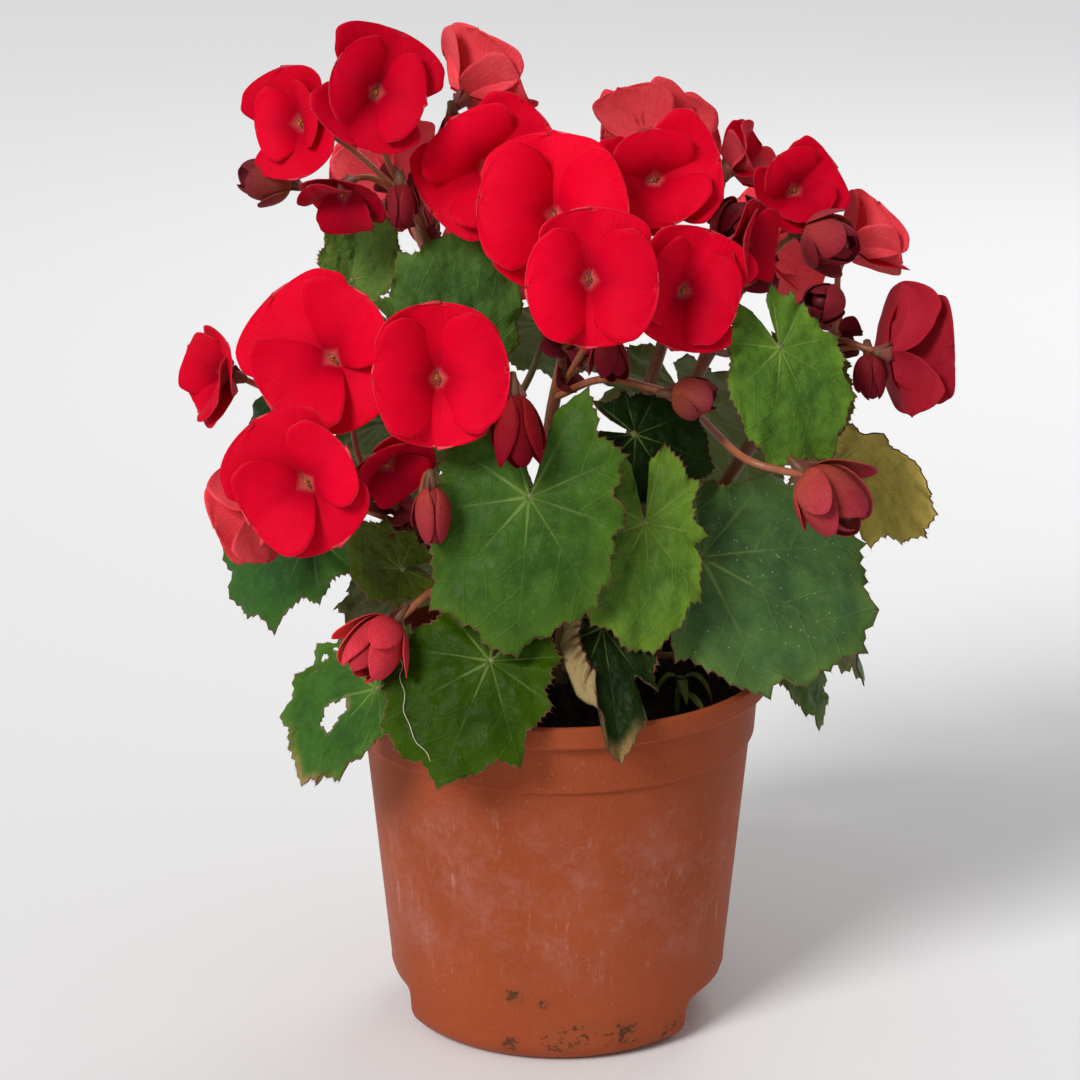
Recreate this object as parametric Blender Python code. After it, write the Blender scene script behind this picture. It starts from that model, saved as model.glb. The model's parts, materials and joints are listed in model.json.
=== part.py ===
"""Potted begonia: a red, single-flowered winter begonia in a plastic nursery pot full of soil.

Seven stems stand in plain holes in the soil. Each carries leaves on long petioles and ends in a
head of blooms and buds. A stem with its flower stalks and buds is one solid, and so is a leaf with
its petiole, and a bloom with its receptacle. The lengths in the tables are millimetres and the
angles degrees. The frame has its origin under the pot's centre, +Z up and the front towards -Y.

A direction is (azimuth, elevation): azimuth 0 faces the front (-Y), 90 faces +X and -90 faces -X.
A clock angle turns in the plane that faces that way: 0 is up, 90 right and 180 down.
"""

import math
from typing import NamedTuple

import bmesh
import bpy
import numpy as np

MM = 0.001
GAP = 0.4  # clearance between pieces that only touch

# Pot: a thin tapered shell with a flared lip, a collar and two drainage recesses at the foot.
POT_HEIGHT = 130.0
LIP_RADIUS = 75.0
LIP_DEPTH = 7.5
COLLAR_RADIUS = 70.5
COLLAR_DEPTH = 25.0
COLLAR_STEP = 1.2  # the collar leans in by this much towards its foot
SHOULDER = 4.0  # height over which the body widens into the collar
BODY_TOP_RADIUS = 67.5
BODY_FOOT_RADIUS = 58.5
FOOT_CORNER = 9.0
WALL = 1.6
FLOOR = 2.4
FLOOR_CORNER = 4.5  # height at which the inside meets the rounded foot
ROUND_STEPS = 32  # round the pot and the soil
RECESS_ANGLES = (-6.0, 174.0)
RECESS_HALF_WIDTH = 34.0
RECESS_HEIGHT = 17.0
RECESS_MIDDLE = 13.0
RECESS_DEPTH = 12.0
DRAIN_HOLES = 6
DRAIN_RADIUS = 4.0
DRAIN_CIRCLE = 27.2
FLOOR_RING = 34.0  # an edge loop in the floor, outside the drain holes

# Soil: fills the pot to just under the lip, a little higher round the stems.
SOIL_TOP = 119.0
SOIL_MOUND = 4.0
LUMP = 0.8  # height of the soil's lumps

# Plant
BLADE = 0.8  # thickness of leaf blades and petals
PETIOLE_RADIUS = 1.5
PEDICEL_RADIUS = 1.1
NECK_RADIUS = 1.6  # end of a bloom's receptacle
FORK_STEP = 3.0  # the flower stalks leave the stem this far under each other
CUP = 0.11  # how far a petal's edges stand forward, as a share of its width
RECEPTACLE = 6.0  # length of the base behind a bloom's petals
CORE_RADIUS = 3.8  # the petals grow from its four sides
CORE_LEVELS = (2.2, 0.6, -0.4, -1.8)  # front and back of the inner petals' roots, then of the outer's
LOBE_STEP = 39.0  # angle between the main veins of a leaf
BLADE_SPAN = 169.0  # the blade reaches this far round on each side of its tip
LOBE_DEPTH = 0.045  # this and the next three are shares of a leaf's size
TOOTH_DEPTH = 0.032
WAVE_HEIGHT = 0.07
PLEAT_HEIGHT = 0.035
PETAL_REFLEX = 26.0  # a petal bends back by this much from its root to its tip
PETAL_ROWS = np.array([0.0, 0.44, 0.83])  # shares of a petal's length
PETAL_COLUMNS = np.array([-1.0, 0.0, 1.0])


class Stem(NamedTuple):
    """A stem through these points, from the soil to the head that carries the blooms."""

    path: tuple
    radius: float = 3.2
    head_radius: float = 2.0


class Leaf(NamedTuple):
    """A leaf whose petiole meets the blade at joint. The blade's upper face looks along facing."""

    joint: tuple
    facing: tuple
    clock: float
    size: float
    stem: str
    height: float
    droop: float = 25.0
    fold: float = 0.0
    arch: float = 0.25
    width: float = 1.0
    skew: float = 0.12
    wave: float = 0.5
    phase: float = 0.0
    teeth: int = 2
    back: float = 0.0  # the blade reaches this share of its size further behind the petiole


class Bloom(NamedTuple):
    """An open flower. Petals are (clock, lift from the flower's plane, length, width)."""

    stem: str
    centre: tuple
    facing: tuple
    petals: tuple


class Bud(NamedTuple):
    """A closed bud (opening 0) or a half-open one. Its stalk leaves a stem's head, or follows route."""

    stem: str
    base: tuple
    facing: tuple
    length: float
    width: float
    opening: float = 0.0
    route: tuple = ()


STEMS = {
    "left": Stem(((-15, 6, 105), (-15, 6, 126), (-20, 5, 160), (-30, 3, 215), (-42, -3, 272), (-51, -6, 299))),
    "front_left": Stem(((-17, -9, 105), (-17, -9, 126), (-25, -18, 152), (-40, -33, 178), (-58, -42, 203)), 3.0),
    "centre": Stem(((2, -10, 105), (2, -10, 126), (2, -12, 165), (-3, -14, 210), (4, -18, 252))),
    "right_top": Stem(((13, 5, 105), (13, 5, 126), (22, 6, 162), (42, 8, 215), (66, 8, 268))),
    "right": Stem(((21, -6, 105), (21, -6, 126), (38, -4, 162), (72, 2, 214), (96, 6, 246)), 3.0),
    "back_left": Stem(((-8, 20, 105), (-8, 20, 126), (-16, 32, 172), (-30, 46, 220), (-40, 54, 252))),
    "back_right": Stem(((10, 22, 105), (10, 22, 126), (18, 34, 172), (34, 48, 220), (46, 56, 256))),
}

LEAVES = {
    # front
    "leaf_front_centre": Leaf((-9, -68, 208), (-4, 20), 184, 50, "centre", 150, droop=16, skew=0.05, arch=0.18, width=0.92, teeth=3, back=0.26),
    "leaf_front_small": Leaf((29, -54, 195), (6, 26), 178, 42, "centre", 138, fold=14, width=0.76, phase=1.0, back=0.14),
    "leaf_right_large": Leaf((48, -40, 179), (12, 28), 122, 65, "right", 150, droop=18, skew=-0.06, width=0.84, phase=2, teeth=3, back=-0.24),
    "leaf_right_upper": Leaf((74, -36, 250), (18, 22), 158, 40, "right_top", 240, droop=24, fold=10, width=0.8, phase=3),
    "leaf_middle_dark": Leaf((26, -38, 221), (14, 30), 112, 29, "centre", 192, droop=24, phase=4),
    "leaf_low_centre": Leaf((-22, -70, 152), (-8, 34), 200, 42, "front_left", 134, droop=22, fold=4, phase=0.5),
    "leaf_low_dark": Leaf((15, -58, 160), (8, 34), 176, 43, "centre", 130, droop=8, fold=12, width=0.66, phase=1.5),
    "leaf_low_left": Leaf((-61, -49, 135), (-36, 30), 214, 44, "front_left", 130, droop=24, fold=12, width=0.8, phase=2.5),
    "leaf_side_left": Leaf((-52, -50, 178), (-30, 4), 262, 25, "front_left", 160, width=0.85, arch=0, phase=3.5),
    "leaf_left": Leaf((-84, -16, 180), (-32, 34), 232, 42, "left", 156, droop=30, phase=4.5),
    "leaf_far_left": Leaf((-98, 14, 208), (-50, 30), 270, 24, "left", 200, phase=5.5),
    "leaf_top_left": Leaf((-41, -26, 252), (12, 16), 20, 36, "left", 222, droop=12, fold=4, phase=0.8),
    "leaf_young": Leaf((-70, 6, 264), (-8, 12), 8, 26, "left", 240, droop=-12, fold=30, width=0.8, phase=1.8),
    "leaf_right_under": Leaf((74, -20, 148), (70, 44), 140, 36, "right", 136, droop=30, phase=2.8),
    "leaf_right_olive": Leaf((84, -7, 235), (8, 10), 166, 28, "right", 208, droop=10, phase=3.8),
    "leaf_far_right": Leaf((98, 22, 194), (150, 30), 235, 40, "right", 180, droop=20, phase=4.8),
    # back
    "leaf_back_left": Leaf((-62, 56, 200), (-138, 40), 176, 50, "back_left", 168, droop=30, phase=1.2),
    "leaf_back_centre": Leaf((-8, 76, 168), (-176, 38), 184, 52, "back_left", 146, droop=26, phase=2.2),
    "leaf_back_right": Leaf((44, 62, 210), (150, 40), 178, 52, "back_right", 176, droop=30, phase=3.2),
    "leaf_side_right": Leaf((88, 28, 156), (104, 38), 172, 46, "back_right", 134, droop=28, phase=4.2),
    "leaf_low_back_left": Leaf((-58, 52, 149), (-132, 34), 184, 42, "back_left", 132, droop=26, phase=5.2),
    "leaf_low_back": Leaf((48, 70, 146), (146, 34), 180, 40, "back_right", 130, droop=26, phase=0.2),
    "leaf_high_back": Leaf((-4, 38, 240), (175, 52), 185, 34, "back_left", 205, droop=26, phase=1.4),
}


def round_petals(clock, size, lift, inner_lift=None):
    """Two large outer petals, and two smaller ones inside them a quarter turn round."""
    inner_lift = lift + 20 if inner_lift is None else inner_lift
    return (
        (clock, lift, size, 1.28 * size),
        (clock + 180, lift, size, 1.28 * size),
        (clock + 90, inner_lift, 0.9 * size, 1.1 * size),
        (clock - 90, inner_lift, 0.9 * size, 1.1 * size),
    )


BLOOMS = {
    # left head
    "bloom_left_top": Bloom("left", (-60, -22, 333), (12, 16), round_petals(25, 25, 24, 44)),
    "bloom_left_outer": Bloom("left", (-85, -6, 320), (-35, 12), round_petals(-20, 22, 24)),
    "bloom_left_low": Bloom("left", (-71, -20, 300), (-24, -42), round_petals(70, 15, 20, 42)),
    "bloom_left_back": Bloom("left", (-31, 6, 327), (128, 34), round_petals(75, 23, 34, 54)),
    # front left head
    "bloom_front_rear": Bloom("front_left", (-74, -42, 248), (-16, 24), round_petals(-50, 29, 12, 32)),
    "bloom_front_upper": Bloom("front_left", (-39, -64, 247), (6, 12), round_petals(0, 25, 20, 34)),
    "bloom_front": Bloom("front_left", (-81, -74, 215), (-12, 8), round_petals(-35, 25, 14, 32)),
    "bloom_front_under": Bloom("front_left", (-57, -53, 216), (24, -24), round_petals(40, 15, 20, 42)),
    "bloom_front_far": Bloom("front_left", (-110, -26, 238), (-58, 6), round_petals(30, 18, 30, 50)),
    "bloom_front_low": Bloom("front_left", (-98, -46, 198), (-118, -26), round_petals(0, 19, 26, 48)),
    # centre head
    "bloom_top_left": Bloom("centre", (-23, -14, 307), (-8, 12), round_petals(55, 25, 22)),
    "bloom_centre_rear": Bloom("centre", (-1, -34, 294), (-6, 24), round_petals(0, 27, 14, 34)),
    "bloom_centre": Bloom("centre", (10, -60, 279), (6, 10), round_petals(0, 24, 18, 36)),
    "bloom_centre_right": Bloom("centre", (41, -38, 270), (14, 14), round_petals(20, 22, 26)),
    "bloom_top_rear": Bloom("centre", (30, 4, 314), (168, 30), round_petals(20, 19, 18)),
    "bloom_top_centre": Bloom("centre", (32, -18, 303), (10, 20), round_petals(75, 22, 24, 44)),
    "bloom_small": Bloom("centre", (60, -30, 284), (62, 0), round_petals(10, 15, 20, 42)),
    # right heads
    "bloom_right_rear": Bloom("right_top", (60, 24, 299), (80, 34), round_petals(80, 17, 42, 60)),
    "bloom_right_top": Bloom("right_top", (80, 12, 293), (20, 26), round_petals(60, 18, 24, 44)),
    "bloom_right_upper": Bloom("right", (102, 21, 271), (116, 26), round_petals(60, 19, 36, 56)),
    "bloom_right": Bloom("right", (113, -5, 241), (118, -4), round_petals(10, 24, 24)),
    # back heads
    "bloom_back_left": Bloom("back_left", (-58, 72, 280), (-154, 26), round_petals(15, 25, 20)),
    "bloom_back_low": Bloom("back_left", (-18, 82, 254), (-176, 8), round_petals(80, 25, 22)),
    "bloom_back_right": Bloom("back_right", (36, 78, 292), (170, 28), round_petals(0, 25, 20)),
    "bloom_back_side": Bloom("back_right", (74, 70, 258), (132, 8), round_petals(50, 25, 22)),
}

BUDS = (
    Bud("left", (-90, -1, 298), (-74, 14), 19, 13, 0.6),
    Bud("left", (-52, -24, 303), (10, -80), 15, 9),
    Bud("left", (-35, 0, 322), (40, -72), 14, 9),
    Bud("front_left", (-41, -74, 213), (14, -78), 19, 11),
    Bud("front_left", (-14, -70, 243), (18, -74), 25, 12, 0.5, ((-56, -40, 200), (-42, -51, 226), (-22, -61, 245))),
    Bud("centre", (16, -38, 254), (20, -50), 16, 10, 0.4),
    Bud("centre", (38, -42, 236), (82, -4), 16, 12, 0.6, ((-1, -16, 228), (16, -34, 239))),
    Bud("right_top", (63, -2, 286), (-12, -6), 19, 18, 0.4),
    Bud("right_top", (84, 2, 280), (62, -8), 20, 16, 0.6),
    Bud("right_top", (82, -54, 212), (56, -34), 27, 19, 0.8, ((45, 8, 220), (54, -28, 218), (64, -50, 215))),
    Bud("right", (94, -4, 258), (-30, 14), 17, 12, 0.3),
    Bud("right", (106, -4, 240), (20, -70), 16, 10),
    Bud("front_left", (-54, -64, 164), (-52, -42), 24, 16, 0.7, ((-25, -18, 150), (-36, -50, 173))),
    Bud("back_left", (-46, 64, 264), (-150, 60), 15, 10),
    Bud("back_right", (58, 66, 262), (120, -50), 15, 10),
)

# A seedling of another plant, in the soil in front of the stems. Each of its narrow leaves runs
# through four points.
SEEDLING_RADIUS = 0.9
SEEDLING_STEM = ((41, -33, 112), (41, -33, 124), (42, -33, 134))
SEEDLING_LEAVES = (
    ((42, -33, 132), (46, -35, 138), (51, -36, 134), (53, -37, 125)),
    ((42, -33, 132), (39, -34, 137), (36, -35, 134), (33, -36, 128)),
    ((42, -33, 131), (42, -37, 136), (43, -41, 133), (44, -43, 127)),
    ((41, -33, 127), (45, -37, 130), (48, -40, 127), (50, -43, 124)),
)
SEEDLING_LEAF_RADII = (0.7, 1.8, 1.4, 0.5)
SEEDLING_LEAF_FLAT = 0.5


# ---------------------------------------------------------------- directions and curves


def unit(vector):
    vector = np.asarray(vector, float)
    return vector / np.linalg.norm(vector)


def facing_frame(azimuth, elevation):
    """(right, up, out) of a plane that faces along a direction, as seen from in front of it."""
    a, e = math.radians(azimuth), math.radians(elevation)
    out = np.array([math.sin(a) * math.cos(e), -math.cos(a) * math.cos(e), math.sin(e)])
    up = np.array([-math.sin(a) * math.sin(e), math.cos(a) * math.sin(e), math.cos(e)])
    return np.cross(up, out), up, out


def smooth_path(points, per_span):
    """A Catmull-Rom curve through the points."""
    points = [np.asarray(p, float) for p in points]
    padded = [2 * points[0] - points[1], *points, 2 * points[-1] - points[-2]]
    made = []
    for a, b, c, d in zip(padded, padded[1:], padded[2:], padded[3:]):
        for t in np.arange(per_span) / per_span:
            made.append(
                0.5 * (2 * b + (c - a) * t + (2 * a - 5 * b + 4 * c - d) * t**2 + (3 * b - a - 3 * c + d) * t**3)
            )
    return np.array([*made, points[-1]])


def bezier(a, b, c, d, count):
    t = np.linspace(0, 1, count)[:, None]
    return (1 - t) ** 3 * a + 3 * t * (1 - t) ** 2 * b + 3 * t**2 * (1 - t) * c + t**3 * d


def at_height(path, z):
    """The path's point at this height, and the path's share up to it."""
    share = float(np.interp(z, path[:, 2], np.linspace(0, 1, len(path))))
    places = np.linspace(0, 1, len(path))
    return np.array([np.interp(share, places, path[:, k]) for k in range(3)]), share


# ---------------------------------------------------------------- solids as (points, triangles)


def facing_out(points, faces):
    """The same solid with its triangles turned so that they face out."""
    corners = points[faces]
    volume = np.einsum("ij,ij->i", corners[:, 0], np.cross(corners[:, 1], corners[:, 2])).sum()
    return points, faces if volume > 0 else faces[:, ::-1]


def tube(path, radii, sides, side=(0.31, 0.83, 0.46), flat=1.0):
    """A rod along a path, closed at both ends. Its first edge lies on the given side.

    flat is its thickness as a share of its width.
    """
    path = np.asarray(path, float)
    radii = np.broadcast_to(radii, len(path))
    tangents = np.gradient(path, axis=0)
    tangents /= np.linalg.norm(tangents, axis=1)[:, None]
    side = np.asarray(side, float)
    turns = np.arange(sides) * 2 * math.pi / sides
    rings = []
    for point, tangent, radius in zip(path, tangents, radii):
        side = unit(side - tangent * (side @ tangent))
        other = np.cross(tangent, side)
        rings.append(point + radius * (np.outer(np.cos(turns), side) + flat * np.outer(np.sin(turns), other)))
    points = np.concatenate([*rings, path[:1], path[-1:]])
    faces = []
    for ring in range(len(path) - 1):
        for k in range(sides):
            a, b = ring * sides + k, ring * sides + (k + 1) % sides
            faces += [(a, b, a + sides), (b, b + sides, a + sides)]
    start, end = len(points) - 2, len(points) - 1
    last = (len(path) - 1) * sides
    for k in range(sides):
        faces += [(start, (k + 1) % sides, k), (end, last + k, last + (k + 1) % sides)]
    return facing_out(points, np.array(faces))


def egg(centre, axes, radii, rings, sides):
    """An ellipsoid with its poles on axes[2]."""
    rows = []
    for polar in np.pi * np.arange(1, rings) / rings:
        turns = np.arange(sides) * 2 * math.pi / sides
        rows.append(
            centre
            + np.outer(np.cos(turns) * math.sin(polar) * radii[0], axes[0])
            + np.outer(np.sin(turns) * math.sin(polar) * radii[1], axes[1])
            + math.cos(polar) * radii[2] * axes[2]
        )
    points = np.concatenate([*rows, [centre + radii[2] * axes[2]], [centre - radii[2] * axes[2]]])
    faces = []
    for row in range(len(rows) - 1):
        for k in range(sides):
            a, b = row * sides + k, row * sides + (k + 1) % sides
            faces += [(a, b, a + sides), (b, b + sides, a + sides)]
    top, bottom, last = len(points) - 2, len(points) - 1, (len(rows) - 1) * sides
    for k in range(sides):
        faces += [(top, (k + 1) % sides, k), (bottom, last + k, last + (k + 1) % sides)]
    return facing_out(points, np.array(faces))


def thin_solid(points, faces, thickness):
    """A sheet given a thickness. Both faces are split into the same triangles."""
    faces = np.asarray(faces)
    corners = points[faces]
    face_normals = np.cross(corners[:, 1] - corners[:, 0], corners[:, 2] - corners[:, 0])
    normals = np.zeros_like(points)
    for k in range(3):
        np.add.at(normals, faces[:, k], face_normals)
    normals /= np.maximum(np.linalg.norm(normals, axis=1), 1e-9)[:, None]
    count = len(points)
    edges = {(a, b) for f in faces for a, b in zip(f, np.roll(f, -1))}
    rim = [(a, b) for a, b in sorted(edges) if (b, a) not in edges]
    sides = [t for a, b in rim for t in ((b, a, a + count), (b, a + count, b + count))]
    both = np.concatenate([points + normals * thickness / 2, points - normals * thickness / 2])
    return facing_out(both, np.concatenate([faces, faces[:, ::-1] + count, sides]))


# ---------------------------------------------------------------- leaves


def margin(leaf, theta):
    """Distance from the petiole to the toothed margin, theta degrees round from the tip."""
    a = np.radians(theta)
    oval = 0.70 + 0.22 * np.cos(a) + 0.08 * np.cos(2 * a) + leaf.skew * np.sin(a) * (1 + np.cos(a)) / 1.3
    oval = oval + leaf.back * (0.5 - 0.5 * np.cos(a)) ** 2
    lobes = LOBE_DEPTH * np.cos(2 * np.pi * theta / LOBE_STEP)
    teeth = TOOTH_DEPTH * np.cos(2 * np.pi * theta * leaf.teeth / LOBE_STEP)
    basal = 1 - 0.28 * np.clip((np.abs(theta) - 150) / 20, 0, 1) ** 2
    return leaf.size * (oval + lobes + teeth) * basal


def leaf_surface(leaf, theta, rho):
    """Blade points at theta degrees from the tip, rho from 0 at the petiole to 1 at the margin."""
    right, up, out = facing_frame(*leaf.facing)
    clock = math.radians(leaf.clock)
    tip = math.cos(clock) * up + math.sin(clock) * right
    side = np.cross(tip, out)
    a = np.radians(theta)
    reach = margin(leaf, theta) * rho
    along, across = reach * np.cos(a), reach * np.sin(a) * leaf.width
    bend = math.radians(leaf.droop) / leaf.size * np.where(along > 0, 1.0, 0.45)
    rise = (
        -(1 - np.cos(bend * along)) / bend
        + math.tan(math.radians(leaf.fold)) * (np.hypot(across, 0.08 * leaf.size) - 0.08 * leaf.size)
        - leaf.arch * across**2 / leaf.size
        + WAVE_HEIGHT * leaf.wave * leaf.size * rho**2 * np.sin(2.6 * a + leaf.phase)
        + PLEAT_HEIGHT * leaf.size * rho * (0.5 - 0.5 * np.cos(2 * np.pi * theta / LOBE_STEP))
    )
    along = np.sin(bend * along) / bend
    return np.asarray(leaf.joint) + np.outer(along, tip) + np.outer(across, side) + np.outer(rise, out)


def zip_arcs(inner, outer, first_inner, first_outer):
    """Triangles between two arcs of points, each given by its angles."""
    faces, i, j = [], 0, 0
    while i < len(inner) - 1 or j < len(outer) - 1:
        step_out = i == len(inner) - 1 or (j < len(outer) - 1 and outer[j + 1] <= inner[i + 1])
        a, b = first_inner + i, first_outer + j
        if step_out:
            faces.append((a, b + 1, b))
            j += 1
        else:
            faces.append((a, a + 1, b))
            i += 1
    return faces


def leaf_blade(leaf):
    """The blade: two arcs round the petiole, the outer one with a point at each tooth and notch."""
    step = LOBE_STEP / leaf.teeth / 2
    count = int(BLADE_SPAN / step)
    arcs = [(0.5, np.arange(-4, 5) * LOBE_STEP), (1.0, np.arange(-count, count + 1) * step)]
    points = [np.asarray([leaf.joint], float)]
    faces = [(0, k + 2, k + 1) for k in range(len(arcs[0][1]) - 1)]
    first = 1
    for k, (rho, angles) in enumerate(arcs):
        points.append(leaf_surface(leaf, angles, np.full(len(angles), rho)))
        if k + 1 < len(arcs):
            faces += zip_arcs(angles, arcs[k + 1][1], first, first + len(angles))
        first += len(angles)
    return thin_solid(np.concatenate(points), faces, BLADE)


def petiole_path(leaf, stem_path, stem, count):
    """From the stem's side to the back of the blade."""
    _, _, out = facing_frame(*leaf.facing)
    tip = unit(leaf_surface(leaf, np.array([0.0]), np.array([0.3]))[0] - leaf.joint)
    root, share = at_height(stem_path, leaf.height)
    along = unit(at_height(stem_path, leaf.height + 5)[0] - root)
    end = np.asarray(leaf.joint, float)
    away = unit((end - root) * (1, 1, 0))
    away = unit(away - (away @ along) * along)
    radius = stem.radius + (stem.head_radius - stem.radius) * share
    root = root + away * (radius + 2 * GAP)
    length = np.linalg.norm(end - root)
    start_pull = root + 0.35 * length * away
    end_pull = end - length * 0.32 * unit(0.8 * out + 0.5 * tip)
    return bezier(root, start_pull, end_pull, end, count)


# ---------------------------------------------------------------- flowers


def petal_surface(base, out, outward, lift, length, width, cup, u, v):
    """Petal points at u from base to tip and v from -1 to 1 across."""
    across = np.cross(outward, out)
    lift, reflex = math.radians(lift), math.radians(PETAL_REFLEX)
    along = length * (math.sin(lift) - np.sin(lift - reflex * u)) / reflex
    forward = length * (np.cos(lift - reflex * u) - math.cos(lift)) / reflex
    half = 0.5 * width * (2 * np.sqrt(np.clip(u * (1 - u), 0, 1))) ** 0.85 * (1 - 0.75 * (1 - u) ** 8)
    hollow = cup * width * (half * v / (0.5 * width)) ** 2
    normal = np.outer(np.cos(lift - reflex * u), out) - np.outer(np.sin(lift - reflex * u), outward)
    return (
        np.asarray(base)
        + np.outer(along, outward)
        + np.outer(forward, out)
        + np.outer(half * v, across)
        + hollow[:, None] * normal
    )


def neck(bloom):
    """The end of the bloom's receptacle, and the way in which its stalk arrives there."""
    out = facing_frame(*bloom.facing)[2]
    centre = np.asarray(bloom.centre, float)
    way = unit(0.6 * out + 0.8 * unit(centre - STEMS[bloom.stem].path[-1]))
    straight = 0.4 * RECEPTACLE
    return centre - straight * out - (RECEPTACLE - straight) * way, way


def bloom_petal(bloom, frame, petal, front_root, back_root):
    """One petal as (points, polygons). Its root has three points in front and three behind, from left to right."""
    right, up, out = frame
    clock, lift, length, width = petal
    turn = math.radians(clock)
    outward = math.cos(turn) * up + math.sin(turn) * right
    u = np.concatenate([np.repeat(PETAL_ROWS, 3), [1.0]])
    v = np.concatenate([np.tile(PETAL_COLUMNS, 3), [0.0]])
    sheet = petal_surface(bloom.centre, out, outward, lift, length, width, CUP, u, v)
    front = [(r * 3 + c, r * 3 + c + 1, r * 3 + c + 4, r * 3 + c + 3) for r in (0, 1) for c in (0, 1)]
    front += [(6, 7, 9), (7, 8, 9)]
    triangles = np.array([t for f in front for t in ([f] if len(f) == 3 else [f[:3], (f[0], f[2], f[3])])])
    points, _ = thin_solid(sheet, triangles, BLADE)
    points[0:3], points[10:13] = front_root, back_root
    edge = [0, 3, 6, 9, 8, 5, 2]
    rim = [(a, b, b + 10, a + 10) for a, b in zip(edge, edge[1:])]
    sides = triangles.tolist() + (triangles[:, ::-1] + 10).tolist()
    return points, sides + [t for a, b, c, d in rim for t in ((a, b, c), (a, c, d))]


def bloom_solid(bloom):
    """Two outer and two inner petals on the four sides of a small core, with the receptacle behind.

    The core has four levels of corners. The inner petals grow between the front two levels and the
    outer petals between the back two, so that they lie over each other without meeting.
    """
    right, up, out = frame = facing_frame(*bloom.facing)
    centre = np.asarray(bloom.centre, float)
    turns = np.radians(bloom.petals[0][0] + 45 + 90 * np.arange(4))
    ways = np.outer(np.cos(turns), up) + np.outer(np.sin(turns), right)
    levels = [centre + z * out + CORE_RADIUS * ways for z in CORE_LEVELS]
    end, way = neck(bloom)
    foot = end + NECK_RADIUS * (ways - np.outer(ways @ way, way))
    parts = []

    def add(*polygons):
        for polygon in polygons:
            fan = [(0, k, k + 1) for k in range(1, len(polygon) - 1)]
            parts.append((np.array(polygon), fan))

    tip = centre + (CORE_LEVELS[0] + 0.8) * out
    for petal, (left, other) in zip(bloom.petals, ((3, 0), (1, 2), (0, 1), (2, 3))):
        a, b, c, d = ([ring[left], (ring[left] + ring[other]) / 2, ring[other]] for ring in levels)
        if petal in bloom.petals[:2]:
            parts.append(bloom_petal(bloom, frame, petal, c, d))
            add([tip, a[2], a[0]], [c[1], c[0], b[0], a[0], a[2], b[2], c[2]])
            add([d[1], d[2], foot[other], foot[left], d[0]])
        else:
            parts.append(bloom_petal(bloom, frame, petal, a, b))
            add([tip, a[2], a[1]], [tip, a[1], a[0]])
            add([b[1], b[2], c[2], d[2], d[0], c[0], b[0]], [d[0], d[2], foot[other], foot[left]])
    add(foot)
    return welded(parts)


def welded(parts):
    """Parts of one surface as one closed solid: points in the same place become one."""
    points = np.concatenate([p for p, _ in parts])
    firsts = np.cumsum([0, *(len(p) for p, _ in parts[:-1])])
    faces = np.concatenate([np.array(f) + first for (_, f), first in zip(parts, firsts)])
    _, index, inverse = np.unique(np.round(points, 4), axis=0, return_index=True, return_inverse=True)
    return facing_out(points[index], inverse.reshape(-1)[faces])


def bud_solid(bud):
    """A closed bud is a flattened egg, and a half-open one a cup whose edge has three petal tips."""
    right, up, out = facing_frame(*bud.facing)
    base = np.asarray(bud.base, float)
    if not bud.opening:
        radii = (0.5 * bud.width, 0.4 * bud.width, 0.5 * bud.length)
        return egg(base + 0.5 * bud.length * out, (right, up, out), radii, 3, 5)
    turns = np.radians(60 * np.arange(6) + 10 * bud.length)
    tips = np.arange(6) % 2
    flare = 0.55 + 0.55 * bud.opening
    rings = []
    for height, radius in (
        (0.3, 0.8),
        (0.62, 1.0),
        (0.72 + 0.28 * tips, 1.0 + (flare - 1.0) * tips),
        (0.6, 0.6),
    ):
        height, radius = np.broadcast_to(height, 6), np.broadcast_to(radius, 6)
        across = 0.5 * bud.width * radius * np.cos(turns)
        high = 0.42 * bud.width * radius * np.sin(turns)
        rings.append(base + np.outer(across, right) + np.outer(high, up) + np.outer(bud.length * height, out))
    points = np.concatenate([[base], *rings, [base + 0.45 * bud.length * out]])
    faces = [(0, 1 + (k + 1) % 6, 1 + k) for k in range(6)]
    for ring in range(3):
        for k in range(6):
            a, b = 1 + 6 * ring + k, 1 + 6 * ring + (k + 1) % 6
            faces += [(a, b, a + 6), (b, b + 6, a + 6)]
    faces += [(25, 19 + k, 19 + (k + 1) % 6) for k in range(6)]
    return facing_out(points, np.array(faces))


# ---------------------------------------------------------------- stems


def stalk_path(start, start_way, end, end_way, count):
    """A flower stalk, leaving along start_way and arriving along end_way."""
    start, end = np.asarray(start, float), np.asarray(end, float)
    length = np.linalg.norm(end - start)
    return bezier(start, start + 0.35 * length * start_way, end - 0.4 * length * end_way, end, count)


def stem_solids(name, stem):
    """The stem, the stalks that leave its head, and the buds on them."""
    path = smooth_path(stem.path, 2)
    radii = np.linspace(stem.radius, stem.head_radius, len(path))
    solids = [tube(path, radii, 6)]
    way = unit(path[-1] - path[-3])
    tips = [neck(bloom) for bloom in BLOOMS.values() if bloom.stem == name]
    ends = [(end - GAP * arrive, arrive) for end, arrive in tips]
    for bud in (b for b in BUDS if b.stem == name):
        out = facing_frame(*bud.facing)[2]
        end = np.asarray(bud.base) + 1.5 * out
        if bud.route:
            solids.append(tube(smooth_path([*bud.route, end], 2), 1.2 * PEDICEL_RADIUS, 4))
        else:
            ends.append((end, out))
        solids.append(bud_solid(bud))
    for k, (end, arrive) in enumerate(ends):
        fork = at_height(path, path[-1, 2] - 1 - FORK_STEP * k)[0]
        leave = unit(way + 1.2 * unit((end - fork) * (1, 1, 0)))
        solids.append(tube(stalk_path(fork, leave, end, arrive, 4), PEDICEL_RADIUS, 4))
    return solids


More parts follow.
